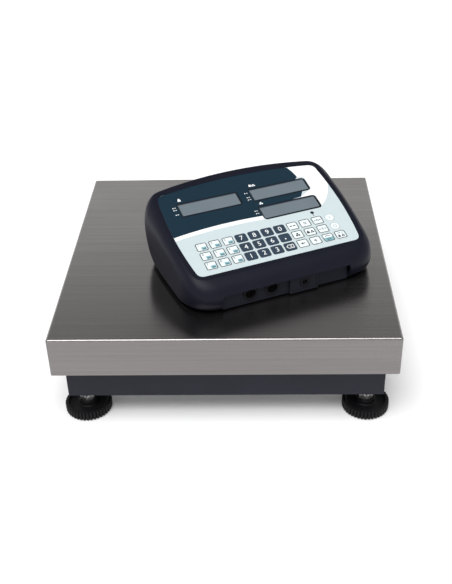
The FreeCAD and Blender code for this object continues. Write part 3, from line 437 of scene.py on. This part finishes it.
def even_angles(count):
    """Angles of equal steps round a full circle."""
    return [2 * math.pi * step / count for step in range(count)]


def ring_of_vertices(work, radii, height):
    """Ring round Z at a height, with a radius for each of its equal steps, in millimetres."""
    return [work.verts.new((radius * MM * math.cos(angle), radius * MM * math.sin(angle), height * MM))
            for angle, radius in zip(even_angles(len(radii)), radii)]


def skin(work, rings):
    """Quads between each ring of vertices and the next."""
    for here, there in zip(rings, rings[1:]):
        for step in range(len(here)):
            following = (step + 1) % len(here)
            work.faces.new((here[step], here[following], there[following], there[step]))


def solid_object(name, work, matrix, finish, smooth):
    """Object of a closed solid, with edges sharper than an angle in degrees left crisp."""
    bmesh.ops.recalc_face_normals(work, faces=work.faces)
    mesh = bpy.data.meshes.new(name)
    work.to_mesh(mesh)
    work.free()
    mesh.materials.append(finish)
    shade_smooth(mesh, smooth)
    return mesh_object(name, mesh, matrix)


# ---------------------------------------------------------------- the face's own frame


# Millimetres on the face: X along a row of keys, Y up the face, height square to it
PITCH_X, PITCH_Y = 17.0, 15.3
KEY_TOP, OVERLAY_TOP = 0.1, -0.2
PRINT = 0.03        # thickness of one printed layer
FIRST_COLUMN, FIRST_ROW = -5, 1     # counted from the middle key, rows upwards


def middle(node):
    """Centre of a node's box."""
    low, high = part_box(node)
    return (low + high) / 2


def extent(node, direction):
    """Lowest and highest reach of a node along a direction."""
    reaches = [vertex.co.dot(direction) for vertex in nodes[node].data.vertices]
    return min(reaches), max(reaches)


def find_face_frame():
    """Matrix of the keypad's plane, with its origin at the middle key."""
    right = (middle("key_print") - middle("key_memory_7")).normalized()
    up = (middle("key_memory_1") - middle("key_memory_7")).normalized()
    out = right.cross(up).normalized()
    place = Vector((0, 0, 0))
    for direction in (right, up):
        place += direction * sum(extent("key_6", direction)) / 2
    place += out * (extent("key_6", out)[1] - KEY_TOP * MM)
    turned = Matrix((right, up, out)).transposed().to_4x4()
    return Matrix.Translation(place) @ turned


FACE = find_face_frame()


def on_face(name, mesh, body="indicator"):
    """Put a mesh drawn in the face's frame on the object."""
    item = mesh_object(name, mesh, FACE)
    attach(item, body)


# ---------------------------------------------------------------- overlay print


# Outlines in millimetres on the face; a curve is its start, pole, end and number of segments
OVERLAY_SIDE = ((105.0, -29.0), (116.75, 40.75), (107.5, 110.5), 30)
OVERLAY_CREST = ((-107.5, 110.5), (0.0, 129.5), (107.5, 110.5), 40)
OVERLAY_CORNER = ((-108.6, 103.0), (-107.6, 110.4), (-100.0, 111.6), 8)
BLUE_FOOT = ((-111.0, 38.8), (-56.0, 46.8), (6.0, 42.6), 30)
BLUE_STEPS = [(8.0, 42.4), (12.0, 55.0), (67.0, 60.0), (72.7, 68.2), (74.0, 92.0), (77.7, 95.0)]
BLUE_END = ((77.7, 95.0), (76.8, 104.0), (72.6, 114.9), 10)
BLUE_LEFT, BLUE_TOP = (39.5, 102.0), (-100.0, 72.0)         # stretch of the overlay's side and of its top
BAND_HEAD = ((-111.0, 38.9), (-56.0, 46.9), (6.0, 42.7), 30)
BAND_FOOT = ((-110.8, 33.2), (-56.0, 40.6), (8.0, 36.4), 30)
WHITE_STEPS = [(86.0, 92.0), (86.0, 70.0), (66.9, 60.0), (84.0, 38.0)]
WHITE_FOOT = ((86.0, 38.5), (101.0, 48.0), (110.6, 72.0), 14)
WHITE_RIGHT, WHITE_TOP = (73.0, 102.0), (73.0, 100.0)
WHITE_SHARE = 0.8   # the white areas' thickness as a share of a layer, so that the blue one covers their edge


def overlay_edge(side, low, high):
    """Points up one side of the overlay between two heights; side is -1 for the left."""
    points = [(side * x, y) for x, y in curve_points(*OVERLAY_SIDE)]
    return [point for point in points if low <= point[1] <= high]


def top_edge(left, right):
    """Points along the overlay's bowed top between two places across, left to right."""
    return [point for point in curve_points(*OVERLAY_CREST) if left <= point[0] <= right]


def blue_field():
    """Dark field behind the displays."""
    outline = curve_points(*BLUE_FOOT) + BLUE_STEPS + curve_points(*BLUE_END)[1:]
    back = overlay_edge(-1, *BLUE_LEFT) + curve_points(*OVERLAY_CORNER) + top_edge(*BLUE_TOP)
    return outline + back[::-1]


def white_band():
    """Bright band under the dark field."""
    return curve_points(*BAND_FOOT)[::-1] + curve_points(*BAND_HEAD)


def white_corner():
    """Bright area right of the displays, ending in a curved edge."""
    outline = curve_points(*BLUE_END)[::-1] + WHITE_STEPS + curve_points(*WHITE_FOOT)
    outline += overlay_edge(1, *WHITE_RIGHT)
    outline += [(-x, y) for x, y in curve_points(*OVERLAY_CORNER)]
    return outline + top_edge(*WHITE_TOP)[::-1]


# Glass of each display: left, right, low, high
DISPLAYS = {
    "weight": (-88.0, -11.0, 70.4, 90.2),
    "unit_weight": (7.4, 82.5, 70.6, 89.4),
    "count": (7.3, 82.4, 37.4, 56.4),
}
SURROUND_LEFT, SURROUND_RIGHT, SURROUND_RISE = 1.2, 3.0, 2.4    # surround beyond the glass
ROUND_CORNER, SHARP_CORNER, GLASS_CORNER = 4.6, 0.6, 0.8
SHADE_LEFT, SHADE_TOP = 0.9, 1.1                                # painted shadow inside the glass's edges


def display_pieces(name, box, lower_left):
    """Black surround, glass and painted inner shadow of one display, with the surround's lower left corner
    given.
    """
    left, right, low, high = box
    surround = rounded_box(left - SURROUND_LEFT, right + SURROUND_RIGHT,
                           low - SURROUND_RISE, high + SURROUND_RISE,
                           (lower_left, ROUND_CORNER, ROUND_CORNER, SHARP_CORNER))
    glass = rounded_box(left, right, low, high, GLASS_CORNER, 3)
    # Painted shadow: a darker strip along the glass's left and top edges
    inner_left, inner_high = left + SHADE_LEFT, high - SHADE_TOP
    shade = [(left, high), (left, low), (inner_left, low), (inner_left, inner_high),
             (right, inner_high), (right, high)]
    stack = ((surround, 1, 2, BLACK_PRINT), (glass, 2, 3.5, DISPLAY), (shade, 3.5, 4, DISPLAY_PAINTED_SHADOW))
    parts = [(flat_mesh(name, [loop], OVERLAY_TOP + below * PRINT, OVERLAY_TOP + above * PRINT), finish)
             for loop, below, above, finish in stack]
    on_face(f"display_{name}", joined(f"display_{name}", parts))


def make_overlay_print():
    """Printed areas of the overlay, with the displays on top."""
    areas = ((blue_field(), 1.0, BLUE_PRINT), (white_band(), WHITE_SHARE, WHITE_PRINT),
             (white_corner(), WHITE_SHARE, WHITE_PRINT))
    parts = [(flat_mesh("print", [outline], OVERLAY_TOP, OVERLAY_TOP + PRINT * share), finish)
             for outline, share, finish in areas]
    on_face("overlay_print", joined("overlay_print", parts))
    for name, box in DISPLAYS.items():
        display_pieces(name, box, ROUND_CORNER if name == "count" else SHARP_CORNER)


# ---------------------------------------------------------------- marks over and beside the displays


# Drawings as shares of a mark's size, about its centre
WEIGHT_BLOCK = ((-0.5, -0.5), (0.5, -0.5), (0.3, 0.25), (-0.3, 0.25))
WEIGHT_KNOB_HEIGHT, WEIGHT_KNOB_RADIUS = 0.375, 0.19
PILE_PLACES, PILE_RADIUS = ((-0.27, -0.22), (0.27, -0.22), (0.0, 0.24)), 0.24
ARROW = ((0.5, 0.0), (0.05, 0.32), (0.05, 0.1), (-0.5, 0.1), (-0.5, -0.1), (0.05, -0.1), (0.05, -0.32))
DOT_SIDES = 12


def weight_mark(x, y, size):
    """Kitchen weight: tapered block with a knob."""
    block = [(x + size * across, y + size * up) for across, up in WEIGHT_BLOCK]
    return [block, ring_points(x, y + size * WEIGHT_KNOB_HEIGHT, size * WEIGHT_KNOB_RADIUS, DOT_SIDES)]


def pile_mark(x, y, size):
    """Three pieces in a pile."""
    return [ring_points(x + size * across, y + size * up, size * PILE_RADIUS, DOT_SIDES)
            for across, up in PILE_PLACES]


def arrow_mark(x, y, size, direction=1):
    """Small arrow along the row; direction is -1 for one that points left."""
    return [[(x + direction * size * across, y + size * up) for across, up in ARROW]]


def bar_mark(x, y, width, height):
    half_width, half_height = width / 2, height / 2
    return [[(x - half_width, y - half_height), (x + half_width, y - half_height),
             (x + half_width, y + half_height), (x - half_width, y + half_height)]]


# Signs over the displays: across, up, size; a bar is across, up, width, height
WEIGHT_SIGN, COUNT_SIGN = (-83.0, 98.3, 4.6), (13.0, 63.8, 4.6)
UNIT_SIGN, PER_PIECE_SIGN, DIVIDER = (12.0, 97.4, 3.8), (17.0, 97.0, 4.2), (14.4, 97.2, 0.5, 4.4)
# Columns of arrows beside the displays: place across, heights
ARROW_COLUMNS = ((-92.5, (86.5, 82.6, 74.5)), (3.0, (85.6, 77.8, 73.6)), (2.8, (52.6, 48.2, 40.4)))
ARROW_SIZE, ARROW_BAR = 2.6, (1.2, 1.5)
LAMP_PLACE, LAMP_RADIUS, LAMP_SIDES, LAMP_HEIGHT = (67.7, 29.6), 2.3, 20, 0.15
LAMP_STEM = (67.5, 25.7, 0.9, 3.4)


def make_display_marks():
    """White signs round the displays, and the charge lamp with its line."""
    low = OVERLAY_TOP + PRINT
    shapes = weight_mark(*WEIGHT_SIGN) + weight_mark(*UNIT_SIGN) + bar_mark(*DIVIDER)
    shapes += pile_mark(*PER_PIECE_SIGN) + pile_mark(*COUNT_SIGN)
    for across, heights in ARROW_COLUMNS:
        for height in heights:
            shapes += arrow_mark(across, height, ARROW_SIZE)
            shapes += bar_mark(across - ARROW_SIZE, height, *ARROW_BAR)
    parts = [(flat_mesh("mark", [shape], low, low + PRINT), WHITE_PRINT) for shape in shapes]
    on_face("display_marks", joined("display_marks", parts))
    lamp_loop = ring_points(*LAMP_PLACE, LAMP_RADIUS, LAMP_SIDES)
    lamp = flat_mesh("lamp", [lamp_loop], OVERLAY_TOP, OVERLAY_TOP + LAMP_HEIGHT)
    stem = flat_mesh("stem", bar_mark(*LAMP_STEM), OVERLAY_TOP, OVERLAY_TOP + PRINT)
    on_face("charge_lamp", joined("charge_lamp", [(lamp, BLACK_PRINT), (stem, BLACK_PRINT)]))


# ---------------------------------------------------------------- key faces


# Drawn about a key's centre. A mark is its loops, its material and the number of the printed layer it lies in
KEY_HALF_WIDTH, KEY_HALF_HEIGHT, KEY_CORNER, KEY_LINE = 7.0, 6.3, 2.2, 1.0
DIGIT_SIZE, DIGIT_DROP = 9.6, 0.2
MEMORY_DIGIT_SIZE, MEMORY_DIGIT_PLACE = 4.4, (-3.6, 2.6)
RING_SIDES = 32


def line_box(half_width, half_height, corner, line):
    """Rounded frame as an outer and an inner loop."""
    return [rounded_box(inset - half_width, half_width - inset, inset - half_height, half_height - inset,
                        corner - inset) for inset in (0.0, line)]


def line_ring(radius, line):
    """Round frame as an outer and an inner loop."""
    return [ring_points(0, 0, radius - inset, RING_SIDES) for inset in (0.0, line)]


def filled(shapes, finish=BLACK_PRINT, layer=0):
    """Marks of several outlines, each filled on its own."""
    return [([shape], finish, layer) for shape in shapes]


KEY_FRAME = [(line_box(KEY_HALF_WIDTH, KEY_HALF_HEIGHT, KEY_CORNER, KEY_LINE), BLACK_PRINT, 0)]
ROUND_KEY_FRAME = [(line_ring(5.9, 0.5), GREY_PRINT, 0)]
MEMORY_MARK = filled([rounded_box(-0.8, 5.4, -4.7, -0.3, 0.5, 3)], TEAL_PRINT)
MEMORY_MARK += filled(bar_mark(2.3, -2.5, 4.2, 0.6) + bar_mark(2.3, -3.7, 4.2, 0.5), KEY_DARK, 1)
ERASE_TAG = [(-5.0, 0.0), (-2.4, 3.0), (4.8, 3.0), (4.8, -3.0), (-2.4, -3.0)]
ERASE_INSET = [(-3.9, 0.0), (-2.0, 2.2), (4.0, 2.2), (4.0, -2.2), (-2.0, -2.2)]
ERASE_STROKE = [(-0.4, -1.7), (0.3, -1.7), (2.6, 1.7), (1.9, 1.7)]
ERASE_CROSS = [ERASE_STROKE, [(x, -y) for x, y in ERASE_STROKE]]
PAPER_ARC = ring_points(0, 0.4, 3.4, 14, 20, 140) + ring_points(0, 0.4, 2.6, 14, 160, -140)
ARROWS_INWARD = arrow_mark(-3.7, 0, 3.0) + arrow_mark(3.7, 0, 3.0, -1)
PLUS = bar_mark(0, 0, 4.2, 0.9) + bar_mark(0, 1.4, 0.9, 1.8) + bar_mark(0, -1.4, 0.9, 1.8)
BOX_FRAME = [rounded_box(-1.5, 1.5, -1.7, 1.7, 0.4, 3), rounded_box(-0.9, 0.9, -1.1, 1.1, 0.2, 3)]
PAPER_FRAME = [rounded_box(-2.4, 2.4, -4.0, -1.4, 0.3, 3), rounded_box(-1.8, 1.8, -3.4, -2.0, 0.2, 3)]
PRINT_FIELD = rounded_box(-5.95, 5.95, -5.25, -0.2, (1.2, 1.2, 0.2, 0.2), 4)
KEY_MARKS = {
    "on": ROUND_KEY_FRAME + filled(bar_mark(0, 0, 0.7, 4.0), GREY_PRINT),
    "off": ROUND_KEY_FRAME + [(line_ring(2.1, 0.6), GREY_PRINT, 0)],
    "decimal_point": filled([ring_points(0, -2.0, 1.0, 16)], WHITE_PRINT),
    "clear": [([ERASE_TAG, ERASE_INSET], WHITE_PRINT, 0)] + filled(ERASE_CROSS, WHITE_PRINT),
    "sample": KEY_FRAME + filled(bar_mark(-2.2, 0, 3.2, 1.3) + bar_mark(2.4, 0, 3.2, 1.3)),
    "pieces": KEY_FRAME + filled(pile_mark(0, 0, 5.6)),
    "recall": KEY_FRAME + filled(arrow_mark(0, 0, 5.6, -1)),
    "unit_weight": KEY_FRAME + [(BOX_FRAME, BLACK_PRINT, 0)],
    "weight_count": KEY_FRAME + filled(weight_mark(-2.8, 0, 4.2) + pile_mark(2.6, -0.2, 4.6)),
    "accumulate": KEY_FRAME + filled(PLUS),
    "zero": KEY_FRAME + filled(ARROWS_INWARD) + [(line_ring(1.7, 0.6), BLACK_PRINT, 0)],
    "tare": KEY_FRAME + filled(ARROWS_INWARD + bar_mark(0, 1.2, 3.0, 0.7) + bar_mark(0, -0.6, 0.8, 2.6)),
    "print": (KEY_FRAME + filled([PRINT_FIELD], TEAL_PRINT) + filled([PAPER_ARC])
              + [(PAPER_FRAME, KEY_DARK, 1)]),
    "mode": KEY_FRAME + filled(weight_mark(-2.6, -1.8, 3.8) + pile_mark(2.6, -1.8, 4.2)
                               + bar_mark(-1.2, 2.8, 4.0, 0.8) + arrow_mark(3.2, 2.8, 2.6)),
}


def key_marks(name):
    """Marks of one key, apart from its digit."""
    if name.startswith("memory_"):
        return KEY_FRAME + MEMORY_MARK
    return KEY_MARKS.get(name, [])


def key_parts(name, x, y):
    """Printed marks of one key with its centre at a place on the face, as (mesh, material) pairs."""
    parts = []
    for loops, finish, layer in key_marks(name):
        low = KEY_TOP + layer * PRINT
        mesh = flat_mesh("mark", loops, low, low + PRINT)
        mesh.transform(Matrix.Translation((x * MM, y * MM, 0)))
        parts.append((mesh, finish))
    if name.isdigit():
        parts.append((digit_mesh(name, x, y - DIGIT_DROP, DIGIT_SIZE, KEY_TOP, KEY_TOP + PRINT), WHITE_PRINT))
    if name.startswith("memory_"):
        across, up = MEMORY_DIGIT_PLACE
        digit = digit_mesh(name[-1], x + across, y + up, MEMORY_DIGIT_SIZE, KEY_TOP, KEY_TOP + PRINT)
        parts.append((digit, BLACK_PRINT))
    return parts


def make_key_faces():
    """Printed face of each key, riding on that key."""
    for row, names in enumerate(KEY_ROWS):
        for column, name in enumerate(names):
            x = (column + FIRST_COLUMN) * PITCH_X
            y = (FIRST_ROW - row) * PITCH_Y
            mesh = joined(f"print_{name}", key_parts(name, x, y))
            on_face(f"key_{name}_print", mesh, f"key_{name}")


# ---------------------------------------------------------------- feet


RIBS, RIB_STEPS = 40, 8
RIB_DEPTH, RIB_WIDTH, RIB_ROUNDING = 2.1, 1.25, 0.9
RIM_START = 26.0    # radius from which the ribs are cut
# Closed section of the hand wheel: radius, height
WHEEL_SECTION = (
    (5.05, 4.0), (5.05, 15.1), (5.6, 15.5), (10.3, 15.5), (11.0, 14.9), (11.6, 10.6), (12.6, 9.6),
    (21.6, 9.4), (22.8, 9.9), (23.4, 11.4), (24.2, 12.0), (26.8, 12.0), (27.7, 11.6), (28.0, 10.8),
    (28.0, 2.2), (27.7, 1.4), (26.8, 1.0), (20.3, 1.0), (20.3, 2.5), (6.0, 2.5), (6.0, 4.0),
)

THREAD_PITCH, THREAD_CREST, THREAD_ROOT = 1.5, 5.0, 4.2
THREAD_STEPS = (THREAD_ROOT, (THREAD_ROOT + THREAD_CREST) / 2, THREAD_CREST, (THREAD_ROOT + THREAD_CREST) / 2)
STUD_LOW, STUD_HIGH, STUD_SIDES = 4.0, 60.0, 28
FOOT_CHAMFER, TIP_CHAMFER = 0.2, 1.0    # least heights of the stud's unthreaded ends
TIP_SHARE = 0.78                        # radius at the very end as a share of the thread's

NUT_FLATS, NUT_LOW, NUT_HIGH, NUT_BORE, NUT_SIDES = 17.0, 15.5, 23.5, 5.05, 48
NUT_CHAMFER, NUT_CORNER = 0.6, 0.25     # chamfer's height, and what it leaves past the flats


def ribbed(angle, radius):
    """Radius of the wheel with rounded ribs round its rim."""
    if radius < RIM_START:
        return radius
    wave = min(1.0, abs(math.sin(angle * RIBS / 2)) * RIB_WIDTH)
    return radius - RIB_DEPTH * (1 - wave ** RIB_ROUNDING)


def make_wheel(name, matrix):
    """Ribbed hand wheel with a dished top and a stepped hub."""
    work = bmesh.new()
    angles = even_angles(RIBS * RIB_STEPS)
    rings = [ring_of_vertices(work, [ribbed(angle, radius) for angle in angles], height)
             for radius, height in WHEEL_SECTION]
    skin(work, rings + rings[:1])
    return solid_object(name, work, matrix, FOOT_PLASTIC, smooth=35)


def thread_radius(turns):
    """Radius of a thread after a number of turns up its helix."""
    count = len(THREAD_STEPS)
    steps = turns % 1.0 * count
    cell = int(steps)
    share = steps - cell
    return THREAD_STEPS[cell % count] * (1 - share) + THREAD_STEPS[(cell + 1) % count] * share


def make_stud(name, matrix):
    """M10 stud with its thread cut as a helix, and a chamfered tip."""
    work = bmesh.new()
    per_pitch = len(THREAD_STEPS)
    first = STUD_LOW + FOOT_CHAMFER
    count = int((STUD_HIGH - TIP_CHAMFER - first) / THREAD_PITCH * per_pitch)
    rings = []
    for row in range(count + 1):
        radii = [thread_radius(row / per_pitch - side / STUD_SIDES) for side in range(STUD_SIDES)]
        rings.append(ring_of_vertices(work, radii, first + row * THREAD_PITCH / per_pitch))
    skin(work, rings)
    for ring, height in ((rings[0], STUD_LOW), (rings[-1], STUD_HIGH)):
        tip = [work.verts.new((end.co.x * TIP_SHARE, end.co.y * TIP_SHARE, height * MM)) for end in ring]
        skin(work, [ring, tip])
        work.faces.new(tip)
    return solid_object(name, work, matrix, DARK_STEEL, smooth=50)


def hexagon_radius(angle):
    """Radius of the nut's hexagon, which has the middle of a flat every sixth of a turn."""
    from_flat = (angle + math.pi / 6) % (math.pi / 3) - math.pi / 6
    return NUT_FLATS / 2 / math.cos(from_flat)


def make_nut(name, matrix):
    """Hexagon nut with chamfered corners."""
    work = bmesh.new()
    hexagon = [hexagon_radius(angle) for angle in even_angles(NUT_SIDES)]
    chamfered = [min(radius, NUT_FLATS / 2 + NUT_CORNER) for radius in hexagon]
    bore = [NUT_BORE] * NUT_SIDES
    levels = ((chamfered, NUT_LOW), (hexagon, NUT_LOW + NUT_CHAMFER), (hexagon, NUT_HIGH - NUT_CHAMFER),
              (chamfered, NUT_HIGH), (bore, NUT_HIGH), (bore, NUT_LOW))
    rings = [ring_of_vertices(work, radii, height) for radii, height in levels]
    skin(work, rings + rings[:1])
    return solid_object(name, work, matrix, ZINC, smooth=25)


def make_feet():
    """Wheel, threaded stud and nut of each foot, in place of the plain CAD node."""
    for foot in ("fl", "fr", "rl", "rr"):
        centre = middle(f"foot_pad_{foot}")
        matrix = Matrix.Translation((centre.x, centre.y, 0.0))
        wheel = make_wheel(f"foot_{foot}_hand_wheel", matrix)
        stud = make_stud(f"foot_{foot}_stud", matrix)
        nut = make_nut(f"foot_{foot}_nut", matrix)
        for piece, slot in ((wheel, "foot_plastic"), (stud, "zinc_steel"), (nut, "zinc_steel")):
            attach(piece, f"foot_{foot}_wheel")
        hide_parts(f"foot_wheel_{foot}")


# ---------------------------------------------------------------- studio


FLOOR_REACH = 14.0
# Brightness of the backdrop by the sine of the height above the horizon
BACKDROP = ((0.0, 0.70), (0.30, 1.12), (0.47, 1.12), (0.58, 0.40), (0.66, 0.08), (1.0, 0.04))
DIM_FRONT, DIM_BACK = (-0.5, 0.65), (0.4, 1.0)      # a direction's share along Y and the strength there
SUN_FROM, SUN_SPREAD, SUN_POWER = (-0.12, -0.37, 1.0), 46.0, 3.0    # spread in degrees


def make_floor():
    """White floor that gives a little light of its own."""
    mesh = bpy.data.meshes.new("floor")
    corners = [(-1, -1), (1, -1), (1, 1), (-1, 1)]
    mesh.from_pydata([(x * FLOOR_REACH, y * FLOOR_REACH, 0) for x, y in corners], [], [(0, 1, 2, 3)])
    shader = Shader("floor_paper", (0.93, 0.93, 0.93), roughness=0.9)
    shader.set(Roughness=shader.spread(shader.noise(scale=3.0, detail=2.0), low=0.85, high=0.95))
    shader.set(Emission_Color=(1.0, 1.0, 1.0, 1.0), Emission_Strength=0.09)
    mesh.materials.append(shader.material)
    mesh_object("floor", mesh)


def make_backdrop():
    """Pale band low all round for the steel to reflect, dark overhead and dimmer in front."""
    world = bpy.data.worlds.new("studio")
    bpy.context.scene.world = world
    world.use_nodes = True
    tree = world.node_tree
    background = tree.nodes["Background"]
    coords = tree.nodes.new("ShaderNodeTexCoord")
    split = tree.nodes.new("ShaderNodeSeparateXYZ")
    ramp = tree.nodes.new("ShaderNodeValToRGB")
    tree.links.new(coords.outputs["Generated"], split.inputs["Vector"])
    tree.links.new(split.outputs["Z"], ramp.inputs["Fac"])
    tree.links.new(ramp.outputs["Color"], background.inputs["Color"])
    stops = ramp.color_ramp.elements
    stops[0].position, stops[1].position = BACKDROP[0][0], BACKDROP[-1][0]
    for place, _ in BACKDROP[1:-1]:
        stops.new(place)
    for stop, (_, value) in zip(stops, BACKDROP):
        stop.color = (value, value, value, 1.0)
    dimmer = tree.nodes.new("ShaderNodeMapRange")
    tree.links.new(split.outputs["Y"], dimmer.inputs["Value"])
    for name, value in zip(("From Min", "To Min", "From Max", "To Max"), DIM_FRONT + DIM_BACK):
        dimmer.inputs[name].default_value = value
    tree.links.new(dimmer.outputs["Result"], background.inputs["Strength"])


def make_light():
    """Broad soft light from overhead."""
    data = bpy.data.lights.new("overhead", "SUN")
    data.angle = math.radians(SUN_SPREAD)
    data.energy = SUN_POWER
    item = bpy.data.objects.new("overhead", data)
    bpy.context.scene.collection.objects.link(item)
    item.rotation_euler = (-Vector(SUN_FROM)).to_track_quat("-Z", "Y").to_euler()


# Camera that fits the pan's four corners: angles in radians, place in metres with the rise over the pan's top
YAW, PITCH, ROLL = 0.0389, 0.5846, -0.0294
CAMERA_X, CAMERA_Y, CAMERA_RISE = 0.0361, -1.0082, 0.5987
FOCAL_LENGTH, SENSOR_WIDTH = 55.72, 36.0


def make_camera():
    """Camera at the photograph's viewing angle."""
    ahead = Vector((-math.sin(YAW) * math.cos(PITCH), math.cos(YAW) * math.cos(PITCH), -math.sin(PITCH)))
    right = Vector((math.cos(YAW), math.sin(YAW), 0.0))
    up = right.cross(ahead)
    tilted_right = right * math.cos(ROLL) + up * math.sin(ROLL)
    tilted_up = up * math.cos(ROLL) - right * math.sin(ROLL)
    turned = Matrix((tilted_right, tilted_up, -ahead)).transposed().to_4x4()
    data = bpy.data.cameras.new("camera")
    data.lens = FOCAL_LENGTH
    data.sensor_width = SENSOR_WIDTH
    camera = bpy.data.objects.new("camera", data)
    bpy.context.scene.collection.objects.link(camera)
    pan_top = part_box("weighing_pan")[1].z
    camera.matrix_world = Matrix.Translation((CAMERA_X, CAMERA_Y, pan_top + CAMERA_RISE)) @ turned
    bpy.context.scene.camera = camera


# ---------------------------------------------------------------- make everything


bpy.context.scene.view_settings.view_transform = "Standard"
make_camera()
make_floor()
make_backdrop()
make_light()
dress_cad_nodes()
make_overlay_print()
make_display_marks()
make_key_faces()
make_feet()
